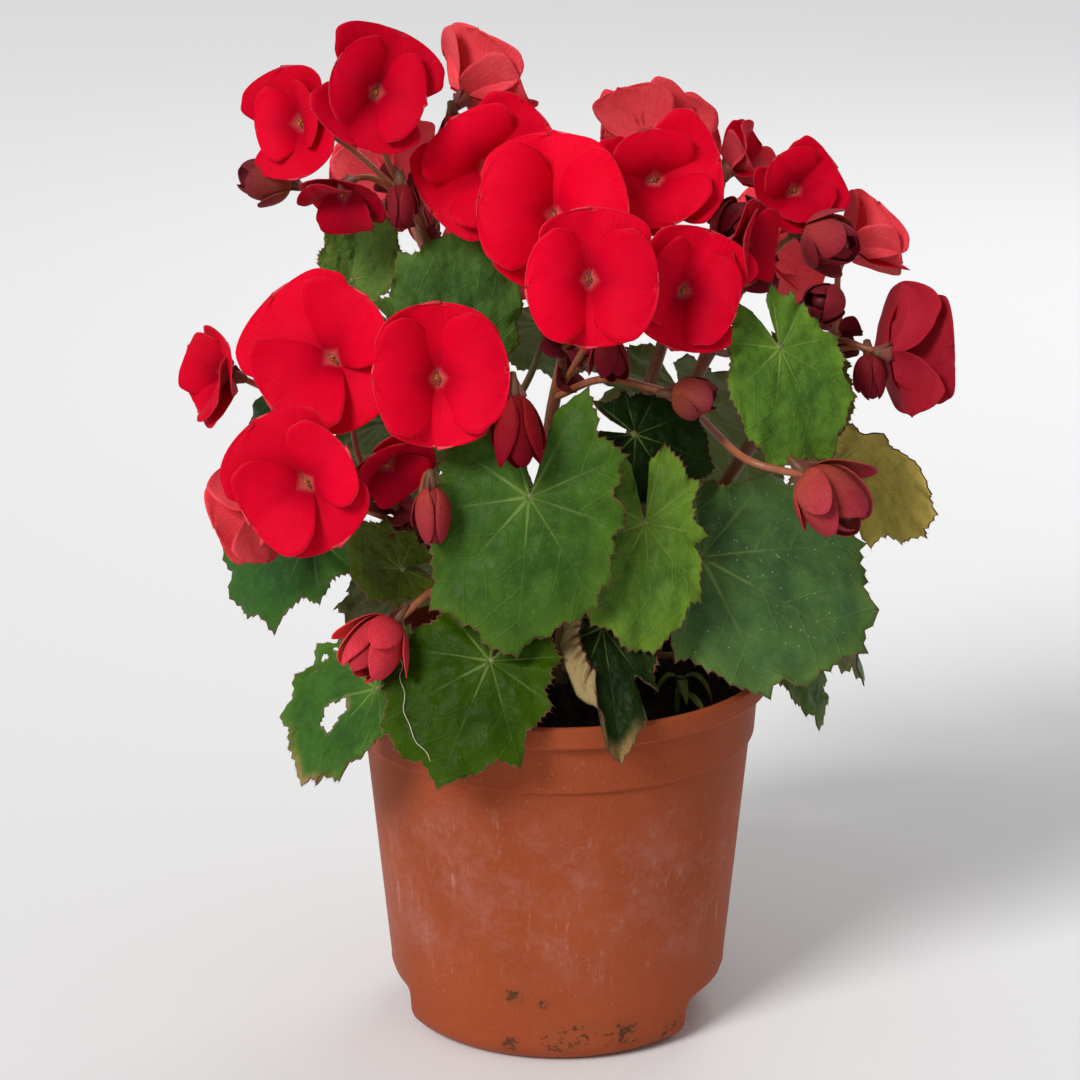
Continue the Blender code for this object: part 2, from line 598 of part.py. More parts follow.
def seedling_solids():
    solids = [tube(SEEDLING_STEM, SEEDLING_RADIUS, 6)]
    for points in SEEDLING_LEAVES:
        path = bezier(*np.array(points, float), len(SEEDLING_LEAF_RADII))
        across = np.cross(path[-1] - path[0], (0, 0, 1))
        solids.append(tube(path, SEEDLING_LEAF_RADII, 4, across, SEEDLING_LEAF_FLAT))
    return solids


# ---------------------------------------------------------------- pot and soil


def wall_radius(z):
    """The body's outer radius at a height: a straight taper with a rounded foot."""
    body_top = POT_HEIGHT - COLLAR_DEPTH - SHOULDER
    taper = BODY_FOOT_RADIUS + (BODY_TOP_RADIUS - BODY_FOOT_RADIUS) * (z - FOOT_CORNER) / (body_top - FOOT_CORNER)
    drop = np.clip(1 - z / FOOT_CORNER, 0, 1)
    return np.where(z < FOOT_CORNER, BODY_FOOT_RADIUS - FOOT_CORNER * (1 - np.sqrt(1 - drop**2)), taper)


def press_recesses(points):
    """Pushes the wall inwards at the two drainage recesses."""
    radius = np.hypot(points[:, 0], points[:, 1])
    azimuth = np.degrees(np.arctan2(points[:, 1], points[:, 0]))
    share = np.zeros(len(points))
    for angle in RECESS_ANGLES:
        off = np.abs((azimuth - angle + 180) % 360 - 180) / RECESS_HALF_WIDTH
        share = np.maximum(share, np.clip(1.6 * (1 - off**2), 0, 1))
    low = np.clip((RECESS_HEIGHT - points[:, 2]) / (0.5 * RECESS_HEIGHT), 0, 1)
    outer = np.clip((radius - 30) / 15, 0, 1)
    factor = 1 - RECESS_DEPTH * share * low * low * (3 - 2 * low) * outer / np.maximum(radius, 1)
    return points * np.stack([factor, factor, np.ones_like(factor)], 1)


def turned(profile, steps):
    """A profile of (radius, height) turned about the axis. A radius of 0 is one point on it.

    Walls are split into triangles along the same diagonals whether the profile rises or falls, so
    that the two faces of a wall and the soil inside it stay parallel.
    """
    points, faces, rings = [], [], []
    turns = np.arange(steps) * 2 * math.pi / steps
    for radius, z in profile:
        ring = [(0.0, 0.0, z)] if radius == 0 else [(radius * math.cos(t), radius * math.sin(t), z) for t in turns]
        rings.append(range(len(points), len(points) + len(ring)))
        points += ring
    for a, b, rises in zip(rings, rings[1:], np.diff([z for _, z in profile]) >= 0):
        for k in range(steps):
            n = (k + 1) % steps
            near, far = (k, n) if rises else (n, k)
            if len(a) > 1:
                faces.append((a[k], a[n], b[near % len(b)]))
            if len(b) > 1:
                faces.append((a[far % len(a)], b[n], b[k]))
    return facing_out(np.array(points), np.array(faces))


def pot_profile():
    """The pot's section, from the middle of its underside up the outside and down the inside."""
    rise = (0.0, 1.2, 3.5, FOOT_CORNER, RECESS_MIDDLE, RECESS_HEIGHT)
    outside = [(0, 0), (FLOOR_RING, 0)] + [(float(wall_radius(z)), z) for z in rise]
    collar_foot = POT_HEIGHT - COLLAR_DEPTH
    outside += [
        (BODY_TOP_RADIUS, collar_foot - SHOULDER),
        (COLLAR_RADIUS - COLLAR_STEP, collar_foot),
        (COLLAR_RADIUS, POT_HEIGHT - LIP_DEPTH - 3),
        (LIP_RADIUS - 0.6, POT_HEIGHT - LIP_DEPTH),
        (LIP_RADIUS, POT_HEIGHT - 0.8),
        (LIP_RADIUS - 0.8, POT_HEIGHT),
    ]
    inside = [
        (LIP_RADIUS - 2.2, POT_HEIGHT),
        (COLLAR_RADIUS - WALL, POT_HEIGHT - LIP_DEPTH - 2),
        (COLLAR_RADIUS - COLLAR_STEP - WALL, collar_foot + 1),
        (BODY_TOP_RADIUS - WALL, collar_foot - SHOULDER),
    ]
    for z in (RECESS_HEIGHT, RECESS_MIDDLE, FOOT_CORNER, FLOOR_CORNER):
        inside.append((float(wall_radius(z)) - WALL, z))
    return outside + inside + [(FLOOR_RING, FLOOR), (0, FLOOR)]


def soil_profile():
    """Follows the pot's inside with a small gap, and rises to a low mound."""
    profile = [(0, FLOOR + GAP), (FLOOR_RING, FLOOR + GAP)]
    for z in (FLOOR_CORNER + GAP, FOOT_CORNER, RECESS_MIDDLE, RECESS_HEIGHT):
        profile.append((float(wall_radius(z)) - WALL - 2 * GAP, z))
    profile.append((BODY_TOP_RADIUS - WALL - 2 * GAP, POT_HEIGHT - COLLAR_DEPTH - SHOULDER))
    profile.append((COLLAR_RADIUS - COLLAR_STEP - WALL - 2 * GAP, SOIL_TOP))
    profile += [(r, SOIL_TOP + 0.5 + SOIL_MOUND * (1 - (r / 66) ** 2)) for r in (58, 44, 28, 12)]
    return profile + [(0, SOIL_TOP + 0.5 + SOIL_MOUND)]


def crumble(points):
    """Lumps in the soil's surface, from a formula."""
    x, y, z = points.T
    share = np.clip((z - SOIL_TOP) / 1.0, 0, 1)
    lumps = np.sin(0.21 * x + 1.3) * np.cos(0.17 * y) + 0.6 * np.sin(0.43 * x - 0.37 * y)
    return points + np.stack([0 * x, 0 * y, LUMP * share * lumps], 1)


# ---------------------------------------------------------------- Blender objects


def material(name, colour, roughness):
    made = bpy.data.materials.new(name)
    made.use_nodes = True
    shader = made.node_tree.nodes["Principled BSDF"]
    shader.inputs["Base Color"].default_value = (*colour, 1)
    shader.inputs["Roughness"].default_value = roughness
    shader.inputs["Metallic"].default_value = 0
    made.diffuse_color = (*colour, 1)
    return made


def mesh_object(name, points, faces, finish=None, collection=None):
    mesh = bpy.data.meshes.new(name)
    mesh.from_pydata((np.asarray(points) * MM).tolist(), [], np.asarray(faces).tolist())
    if finish:
        mesh.materials.append(finish)
    made = bpy.data.objects.new(name, mesh)
    (collection or bpy.context.scene.collection).objects.link(made)
    return made


def combine(target, solids, operation, tidy_flats=False):
    """Joins solids to the target, or cuts them from it, with one Boolean on a collection."""
    helpers = bpy.data.collections.new("helpers")
    bpy.context.scene.collection.children.link(helpers)
    for points, faces in solids:
        mesh_object("helper", points, faces, collection=helpers)
    boolean = target.modifiers.new("combine", "BOOLEAN")
    boolean.operation = operation
    boolean.operand_type = "COLLECTION"
    boolean.collection = helpers
    boolean.solver = "EXACT"
    graph = bpy.context.evaluated_depsgraph_get()
    mesh = bpy.data.meshes.new_from_object(target.evaluated_get(graph))
    target.modifiers.clear()
    target.data = mesh
    mesh.name = target.name
    if tidy_flats:
        shape = bmesh.new()
        shape.from_mesh(mesh)
        bmesh.ops.dissolve_limit(shape, angle_limit=math.radians(0.1), verts=shape.verts, edges=shape.edges)
        bmesh.ops.triangulate(shape, faces=shape.faces)
        shape.to_mesh(mesh)
        shape.free()
    for helper in list(helpers.objects):
        bpy.data.objects.remove(helper)
    bpy.data.collections.remove(helpers)
    return target


def joined(name, solids, finish):
    """One object made of solids that grow into each other."""
    made = mesh_object(name, *solids[0], finish)
    return combine(made, solids[1:], "UNION") if len(solids) > 1 else made


def build_pot():
    points, faces = turned(pot_profile(), ROUND_STEPS)
    pot = mesh_object("pot", press_recesses(points), faces, material("terracotta_plastic", (0.40, 0.10, 0.045), 0.5))
    drills = []
    for k in range(DRAIN_HOLES):
        turn = math.radians(90 + 360 * k / DRAIN_HOLES)
        x, y = DRAIN_CIRCLE * math.cos(turn), DRAIN_CIRCLE * math.sin(turn)
        drills.append(tube([(x, y, -3), (x, y, FLOOR + 3)], DRAIN_RADIUS, 8))
    combine(pot, drills, "DIFFERENCE", tidy_flats=True)
    pot.data.shade_smooth()
    pot.data.set_sharp_from_angle(angle=math.radians(35))


def build_soil():
    points, faces = turned(soil_profile(), ROUND_STEPS)
    soil = mesh_object("soil", crumble(press_recesses(points)), faces, material("soil", (0.02, 0.013, 0.009), 0.95))
    holes = []
    feet = [(stem.path[0], stem.radius) for stem in STEMS.values()]
    for (x, y, z), radius in [*feet, (SEEDLING_STEM[0], SEEDLING_RADIUS)]:
        holes.append(tube([(x, y, z - GAP), (x, y, SOIL_TOP + 12)], radius + 4 * GAP, 8))
    combine(soil, holes, "DIFFERENCE", tidy_flats=True)


def build_plant():
    green = material("leaf_green", (0.06, 0.17, 0.03), 0.45)
    red = material("petal_red", (0.60, 0.004, 0.012), 0.5)
    brown = material("stem_reddish", (0.20, 0.06, 0.03), 0.45)
    for name, stem in STEMS.items():
        joined(f"stem_{name}", stem_solids(name, stem), brown)
    for name, leaf in LEAVES.items():
        stem = STEMS[leaf.stem]
        path = petiole_path(leaf, smooth_path(stem.path, 2), stem, 5)
        joined(name, [leaf_blade(leaf), tube(path, PETIOLE_RADIUS, 4)], green)
    for name, bloom in BLOOMS.items():
        mesh_object(name, *bloom_solid(bloom), red)
    joined("seedling", seedling_solids(), green)


def main():
    for obj in list(bpy.data.objects):
        bpy.data.objects.remove(obj)
    build_pot()
    build_soil()
    build_plant()


main()
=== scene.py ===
"""Potted winter begonia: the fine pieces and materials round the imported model.

Every piece replaces the CAD node it is named after, keeps its place and form, and rides on the
one body, "root". The tables are the part's own, in millimetres and degrees, in the row frame. A
direction is (azimuth, elevation): azimuth 0 faces the front (-Y), 90 faces +X and -90 faces -X. A
clock angle turns in the plane that faces that way: 0 is up, 90 right and 180 down.
"""

import json
import math
from typing import NamedTuple

import bpy
import numpy as np
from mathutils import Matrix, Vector

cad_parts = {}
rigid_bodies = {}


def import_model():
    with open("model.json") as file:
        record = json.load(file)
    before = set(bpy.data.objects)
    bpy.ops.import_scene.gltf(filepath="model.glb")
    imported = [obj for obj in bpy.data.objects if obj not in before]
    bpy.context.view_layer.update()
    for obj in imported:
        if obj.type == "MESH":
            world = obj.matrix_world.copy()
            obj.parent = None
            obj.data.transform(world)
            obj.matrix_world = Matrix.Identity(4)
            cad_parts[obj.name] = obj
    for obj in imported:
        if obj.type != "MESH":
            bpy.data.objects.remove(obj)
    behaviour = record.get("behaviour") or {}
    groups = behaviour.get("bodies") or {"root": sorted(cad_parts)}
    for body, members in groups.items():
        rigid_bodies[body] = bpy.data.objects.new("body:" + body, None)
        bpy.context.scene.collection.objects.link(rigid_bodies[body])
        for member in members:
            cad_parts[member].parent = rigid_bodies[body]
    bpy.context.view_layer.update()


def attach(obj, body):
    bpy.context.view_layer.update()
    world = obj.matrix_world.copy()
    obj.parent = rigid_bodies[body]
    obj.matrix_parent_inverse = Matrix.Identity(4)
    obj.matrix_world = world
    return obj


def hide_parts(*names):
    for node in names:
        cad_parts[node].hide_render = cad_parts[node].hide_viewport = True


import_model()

MM = 0.001
GAP = 0.4  # clearance between pieces that only touch

# Pot: a thin tapered shell with a flared lip, a collar and two drainage recesses at the foot.
POT_HEIGHT = 130.0
LIP_RADIUS = 75.0
LIP_DEPTH = 7.5
COLLAR_RADIUS = 70.5
COLLAR_DEPTH = 25.0
COLLAR_STEP = 1.2  # the collar leans in by this much towards its foot
SHOULDER = 4.0  # height over which the body widens into the collar
BODY_TOP_RADIUS = 67.5
BODY_FOOT_RADIUS = 58.5
FOOT_CORNER = 9.0
WALL = 1.6
FLOOR = 2.4
FLOOR_CORNER = 4.5  # height at which the inside meets the rounded foot
RECESS_ANGLES = (-6.0, 174.0)
RECESS_HALF_WIDTH = 34.0
RECESS_HEIGHT = 17.0
RECESS_DEPTH = 12.0
DRAIN_HOLES = 6
DRAIN_RADIUS = 4.0
DRAIN_CIRCLE = 27.2
FLOOR_RING = 34.0  # an edge loop in the floor, outside the drain holes

# Soil: fills the pot to just under the lip, a little higher round the stems.
SOIL_TOP = 119.0
SOIL_MOUND = 4.0
LUMP = 0.8  # height of the soil's lumps

# Plant
PEDICEL_RADIUS = 1.1
FORK_STEP = 3.0  # the flower stalks leave the stem this far under each other
RECEPTACLE = 6.0  # length of the base behind a bloom's petals
LOBE_STEP = 39.0  # angle between the main veins of a leaf
BLADE_SPAN = 169.0  # the blade reaches this far round on each side of its tip
LOBE_DEPTH = 0.045  # this and the next three are shares of a leaf's size
TOOTH_DEPTH = 0.032
WAVE_HEIGHT = 0.07
PLEAT_HEIGHT = 0.035


class Stem(NamedTuple):
    """A stem through these points, from the soil to the head that carries the blooms."""

    path: tuple
    radius: float = 3.2
    head_radius: float = 2.0


class Leaf(NamedTuple):
    """A leaf whose petiole meets the blade at joint. The blade's upper face looks along facing."""

    joint: tuple
    facing: tuple
    clock: float
    size: float
    stem: str
    height: float
    droop: float = 25.0
    fold: float = 0.0
    arch: float = 0.25
    width: float = 1.0
    skew: float = 0.12
    wave: float = 0.5
    phase: float = 0.0
    teeth: int = 2
    back: float = 0.0  # the blade reaches this share of its size further behind the petiole


class Bloom(NamedTuple):
    """An open flower of this radius. Its outer petals stand at clock and opposite, its inner ones between them.

    The lifts are degrees off the flower's plane.
    """

    stem: str
    centre: tuple
    facing: tuple
    clock: float
    size: float
    lift: float
    inner_lift: float = 0.0  # 0 stands for 20 more than lift


class Bud(NamedTuple):
    """A closed bud (opening 0) or a half-open one. Its stalk leaves a stem's head, or follows route."""

    stem: str
    base: tuple
    facing: tuple
    length: float
    width: float
    opening: float = 0.0
    route: tuple = ()


STEMS = {
    "left": Stem(((-15, 6, 105), (-15, 6, 126), (-20, 5, 160), (-30, 3, 215), (-42, -3, 272), (-51, -6, 299))),
    "front_left": Stem(
        ((-17, -9, 105), (-17, -9, 126), (-25, -18, 152), (-40, -33, 178), (-58, -42, 203)), 3.0
    ),
    "centre": Stem(((2, -10, 105), (2, -10, 126), (2, -12, 165), (-3, -14, 210), (4, -18, 252))),
    "right_top": Stem(((13, 5, 105), (13, 5, 126), (22, 6, 162), (42, 8, 215), (66, 8, 268))),
    "right": Stem(((21, -6, 105), (21, -6, 126), (38, -4, 162), (72, 2, 214), (96, 6, 246)), 3.0),
    "back_left": Stem(((-8, 20, 105), (-8, 20, 126), (-16, 32, 172), (-30, 46, 220), (-40, 54, 252))),
    "back_right": Stem(((10, 22, 105), (10, 22, 126), (18, 34, 172), (34, 48, 220), (46, 56, 256))),
}

LEAVES = {
    # front
    "leaf_front_centre": Leaf(
        (-9, -68, 208), (-4, 20), 184, 50, "centre", 150, 16,
        arch=0.18, width=0.92, skew=0.05, teeth=3, back=0.26,
    ),
    "leaf_front_small": Leaf(
        (29, -54, 195), (6, 26), 178, 42, "centre", 138, fold=14, width=0.76, phase=1.0, back=0.14
    ),
    "leaf_right_large": Leaf(
        (48, -40, 179), (12, 28), 122, 65, "right", 150, 18,
        width=0.84, skew=-0.06, phase=2, teeth=3, back=-0.24,
    ),
    "leaf_right_upper": Leaf(
        (74, -36, 250), (18, 22), 158, 40, "right_top", 240, droop=24, fold=10, width=0.8, phase=3
    ),
    "leaf_middle_dark": Leaf((26, -38, 221), (14, 30), 112, 29, "centre", 192, droop=24, phase=4),
    "leaf_low_centre": Leaf((-22, -70, 152), (-8, 34), 200, 42, "front_left", 134, droop=22, fold=4, phase=0.5),
    "leaf_low_dark": Leaf(
        (15, -58, 160), (8, 34), 176, 43, "centre", 130, droop=8, fold=12, width=0.66, phase=1.5
    ),
    "leaf_low_left": Leaf(
        (-61, -49, 135), (-36, 30), 214, 44, "front_left", 130, droop=24, fold=12, width=0.8, phase=2.5
    ),
    "leaf_side_left": Leaf(
        (-52, -50, 178), (-30, 4), 262, 25, "front_left", 160, width=0.85, arch=0, phase=3.5
    ),
    "leaf_left": Leaf((-84, -16, 180), (-32, 34), 232, 42, "left", 156, droop=30, phase=4.5),
    "leaf_far_left": Leaf((-98, 14, 208), (-50, 30), 270, 24, "left", 200, phase=5.5),
    "leaf_top_left": Leaf((-41, -26, 252), (12, 16), 20, 36, "left", 222, droop=12, fold=4, phase=0.8),
    "leaf_young": Leaf((-70, 6, 264), (-8, 12), 8, 26, "left", 240, droop=-12, fold=30, width=0.8, phase=1.8),
    "leaf_right_under": Leaf((74, -20, 148), (70, 44), 140, 36, "right", 136, droop=30, phase=2.8),
    "leaf_right_olive": Leaf((84, -7, 235), (8, 10), 166, 28, "right", 208, droop=10, phase=3.8),
    "leaf_far_right": Leaf((98, 22, 194), (150, 30), 235, 40, "right", 180, droop=20, phase=4.8),
    # back
    "leaf_back_left": Leaf((-62, 56, 200), (-138, 40), 176, 50, "back_left", 168, droop=30, phase=1.2),
    "leaf_back_centre": Leaf((-8, 76, 168), (-176, 38), 184, 52, "back_left", 146, droop=26, phase=2.2),
    "leaf_back_right": Leaf((44, 62, 210), (150, 40), 178, 52, "back_right", 176, droop=30, phase=3.2),
    "leaf_side_right": Leaf((88, 28, 156), (104, 38), 172, 46, "back_right", 134, droop=28, phase=4.2),
    "leaf_low_back_left": Leaf((-58, 52, 149), (-132, 34), 184, 42, "back_left", 132, droop=26, phase=5.2),
    "leaf_low_back": Leaf((48, 70, 146), (146, 34), 180, 40, "back_right", 130, droop=26, phase=0.2),
    "leaf_high_back": Leaf((-4, 38, 240), (175, 52), 185, 34, "back_left", 205, droop=26, phase=1.4),
}


BLOOMS = {
    # left head
    "bloom_left_top": Bloom("left", (-60, -22, 333), (12, 16), 25, 25, 24, 44),
    "bloom_left_outer": Bloom("left", (-85, -6, 320), (-35, 12), -20, 22, 24),
    "bloom_left_low": Bloom("left", (-71, -20, 300), (-24, -42), 70, 15, 20, 42),
    "bloom_left_back": Bloom("left", (-31, 6, 327), (128, 34), 75, 23, 34, 54),
    # front left head
    "bloom_front_rear": Bloom("front_left", (-74, -42, 248), (-16, 24), -50, 29, 12, 32),
    "bloom_front_upper": Bloom("front_left", (-39, -64, 247), (6, 12), 0, 25, 20, 34),
    "bloom_front": Bloom("front_left", (-81, -74, 215), (-12, 8), -35, 25, 14, 32),
    "bloom_front_under": Bloom("front_left", (-57, -53, 216), (24, -24), 40, 15, 20, 42),
    "bloom_front_far": Bloom("front_left", (-110, -26, 238), (-58, 6), 30, 18, 30, 50),
    "bloom_front_low": Bloom("front_left", (-98, -46, 198), (-118, -26), 0, 19, 26, 48),
    # centre head
    "bloom_top_left": Bloom("centre", (-23, -14, 307), (-8, 12), 55, 25, 22),
    "bloom_centre_rear": Bloom("centre", (-1, -34, 294), (-6, 24), 0, 27, 14, 34),
    "bloom_centre": Bloom("centre", (10, -60, 279), (6, 10), 0, 24, 18, 36),
    "bloom_centre_right": Bloom("centre", (41, -38, 270), (14, 14), 20, 22, 26),
    "bloom_top_rear": Bloom("centre", (30, 4, 314), (168, 30), 20, 19, 18),
    "bloom_top_centre": Bloom("centre", (32, -18, 303), (10, 20), 75, 22, 24, 44),
    "bloom_small": Bloom("centre", (60, -30, 284), (62, 0), 10, 15, 20, 42),
    # right heads
    "bloom_right_rear": Bloom("right_top", (60, 24, 299), (80, 34), 80, 17, 42, 60),
    "bloom_right_top": Bloom("right_top", (80, 12, 293), (20, 26), 60, 18, 24, 44),
    "bloom_right_upper": Bloom("right", (102, 21, 271), (116, 26), 60, 19, 36, 56),
    "bloom_right": Bloom("right", (113, -5, 241), (118, -4), 10, 24, 24),
    # back heads
    "bloom_back_left": Bloom("back_left", (-58, 72, 280), (-154, 26), 15, 25, 20),
    "bloom_back_low": Bloom("back_left", (-18, 82, 254), (-176, 8), 80, 25, 22),
    "bloom_back_right": Bloom("back_right", (36, 78, 292), (170, 28), 0, 25, 20),
    "bloom_back_side": Bloom("back_right", (74, 70, 258), (132, 8), 50, 25, 22),
}

BUDS = (
    Bud("left", (-90, -1, 298), (-74, 14), 19, 13, 0.6),
    Bud("left", (-52, -24, 303), (10, -80), 15, 9),
    Bud("left", (-35, 0, 322), (40, -72), 14, 9),
    Bud("front_left", (-41, -74, 213), (14, -78), 19, 11),
    Bud(
        "front_left", (-14, -70, 243), (18, -74), 25, 12, 0.5,
        ((-56, -40, 200), (-42, -51, 226), (-22, -61, 245)),
    ),
    Bud("centre", (16, -38, 254), (20, -50), 16, 10, 0.4),
    Bud("centre", (38, -42, 236), (82, -4), 16, 12, 0.6, ((-1, -16, 228), (16, -34, 239))),
    Bud("right_top", (63, -2, 286), (-12, -6), 19, 18, 0.4),
    Bud("right_top", (84, 2, 280), (62, -8), 20, 16, 0.6),
    Bud(
        "right_top", (82, -54, 212), (56, -34), 27, 19, 0.8,
        ((45, 8, 220), (54, -28, 218), (64, -50, 215)),
    ),
    Bud("right", (94, -4, 258), (-30, 14), 17, 12, 0.3),
    Bud("right", (106, -4, 240), (20, -70), 16, 10),
    Bud("front_left", (-54, -64, 164), (-52, -42), 24, 16, 0.7, ((-25, -18, 150), (-36, -50, 173))),
    Bud("back_left", (-46, 64, 264), (-150, 60), 15, 10),
    Bud("back_right", (58, 66, 262), (120, -50), 15, 10),
)

# A seedling of another plant, in the soil in front of the stems. Each of its narrow leaves runs
# through four points.
SEEDLING_RADIUS = 0.9
SEEDLING_STEM = ((41, -33, 112), (41, -33, 124), (42, -33, 134))
SEEDLING_LEAVES = (
    ((42, -33, 132), (46, -35, 138), (51, -36, 134), (53, -37, 125)),
    ((42, -33, 132), (39, -34, 137), (36, -35, 134), (33, -36, 128)),
    ((42, -33, 131), (42, -37, 136), (43, -41, 133), (44, -43, 127)),
    ((41, -33, 127), (45, -37, 130), (48, -40, 127), (50, -43, 124)),
)


# ---------------------------------------------------------------- directions and curves


def unit(vector):
    vector = np.asarray(vector, float)
    return vector / np.linalg.norm(vector)


def facing_frame(azimuth, elevation):
    """(right, up, out) of a plane that faces along a direction, as seen from in front of it."""
    a, e = math.radians(azimuth), math.radians(elevation)
    out = np.array([math.sin(a) * math.cos(e), -math.cos(a) * math.cos(e), math.sin(e)])
    up = np.array([-math.sin(a) * math.sin(e), math.cos(a) * math.sin(e), math.cos(e)])
    return np.cross(up, out), up, out


def smooth_path(points, per_span):
    """A Catmull-Rom curve through the points."""
    points = [np.asarray(p, float) for p in points]
    padded = [2 * points[0] - points[1], *points, 2 * points[-1] - points[-2]]
    made = []
    for a, b, c, d in zip(padded, padded[1:], padded[2:], padded[3:]):
        for t in np.arange(per_span) / per_span:
            made.append(
                0.5 * (2 * b + (c - a) * t + (2 * a - 5 * b + 4 * c - d) * t**2)
                + 0.5 * (3 * b - a - 3 * c + d) * t**3
            )
    return np.array([*made, points[-1]])


def bezier(a, b, c, d, count):
    t = np.linspace(0, 1, count)[:, None]
    return (1 - t) ** 3 * a + 3 * t * (1 - t) ** 2 * b + 3 * t**2 * (1 - t) * c + t**3 * d


def at_height(path, z):
    """The path's point at this height, and the path's share up to it."""
    share = float(np.interp(z, path[:, 2], np.linspace(0, 1, len(path))))
    places = np.linspace(0, 1, len(path))
    return np.array([np.interp(share, places, path[:, k]) for k in range(3)]), share


# ---------------------------------------------------------------- shaders


class Value:
    """What a node gives, ready for arithmetic with numbers and other values."""

    def __init__(self, shader, socket):
        self.shader, self.socket = shader, socket

    def __add__(self, other):
        return self.shader.math("ADD", self, other)

    def __sub__(self, other):
        return self.shader.math("SUBTRACT", self, other)

    def __mul__(self, other):
        return self.shader.math("MULTIPLY", self, other)

    def __abs__(self):
        return self.shader.math("ABSOLUTE", self)


class Shader:
    """A material, with short ways to add its nodes. They take numbers, colours and values."""

    def __init__(self, name, **constants):
        self.material = bpy.data.materials.new(name)
        self.material.use_nodes = True
        self.nodes = self.material.node_tree.nodes
        self.surface = self.nodes["Principled BSDF"]
        for socket, value in constants.items():
            self.put(self.surface.inputs[socket.replace("_", " ")], value)

    def put(self, socket, value):
        if isinstance(value, Value):
            self.material.node_tree.links.new(value.socket, socket)
        elif value is not None:
            socket.default_value = (*value, 1) if socket.type == "RGBA" else value

    def node(self, kind, output, *values, **settings):
        """One output of a new node. The values go to its inputs in order, and None leaves one as it is."""
        made = self.nodes.new(kind)
        for name, value in settings.items():
            setattr(made, name, value)
        for socket, value in zip(made.inputs, values):
            self.put(socket, value)
        return Value(self, made.outputs[output])

    def math(self, operation, *values):
        return self.node("ShaderNodeMath", 0, *values, operation=operation)

    def mix(self, share, first, second, blend="MIX"):
        unused = [None] * 5
        return self.node("ShaderNodeMix", 2, share, *unused, first, second, data_type="RGBA", blend_type=blend)

    def shade(self, share, colour, factors, source=None):
        """The colour, with this share of it replaced by the factors times source, or times itself."""
        return self.mix(share, colour, self.mix(1.0, source or colour, factors, "MULTIPLY"))

    def span(self, value, low, high, to_low=0.0, to_high=1.0):
        """A smooth step from to_low at low to to_high at high."""
        limits = (low, high, to_low, to_high)
        return self.node("ShaderNodeMapRange", 0, value, *limits, interpolation_type="SMOOTHSTEP")

    def attribute(self, name, output="Vector"):
        return self.node("ShaderNodeAttribute", output, attribute_name=name)

    def split(self, vector):
        return [self.node("ShaderNodeSeparateXYZ", axis, vector) for axis in "XYZ"]

    def join(self, x, y, z=0.0):
        return self.node("ShaderNodeCombineXYZ", 0, x, y, z)

    def place(self):
        return self.node("ShaderNodeTexCoord", "Object")

    def noise(self, where, scale, detail=2.0, roughness=0.5):
        return self.node("ShaderNodeTexNoise", "Fac", where, None, scale, detail, roughness)

    def cells(self, where, scale):
        """The distance to the nearest of many scattered points."""
        return self.node("ShaderNodeTexVoronoi", "Distance", where, None, scale)

    def bump(self, height, depth_mm, strength=1.0):
        made = self.nodes.new("ShaderNodeBump")
        for socket, value in (("Strength", strength), ("Distance", depth_mm * MM), ("Height", height)):
            self.put(made.inputs[socket], value)
        self.put(self.surface.inputs["Normal"], Value(self, made.outputs[0]))

    def finish(self, colour, roughness):
        self.put(self.surface.inputs["Base Color"], colour)
        self.put(self.surface.inputs["Roughness"], roughness)
        return self.material


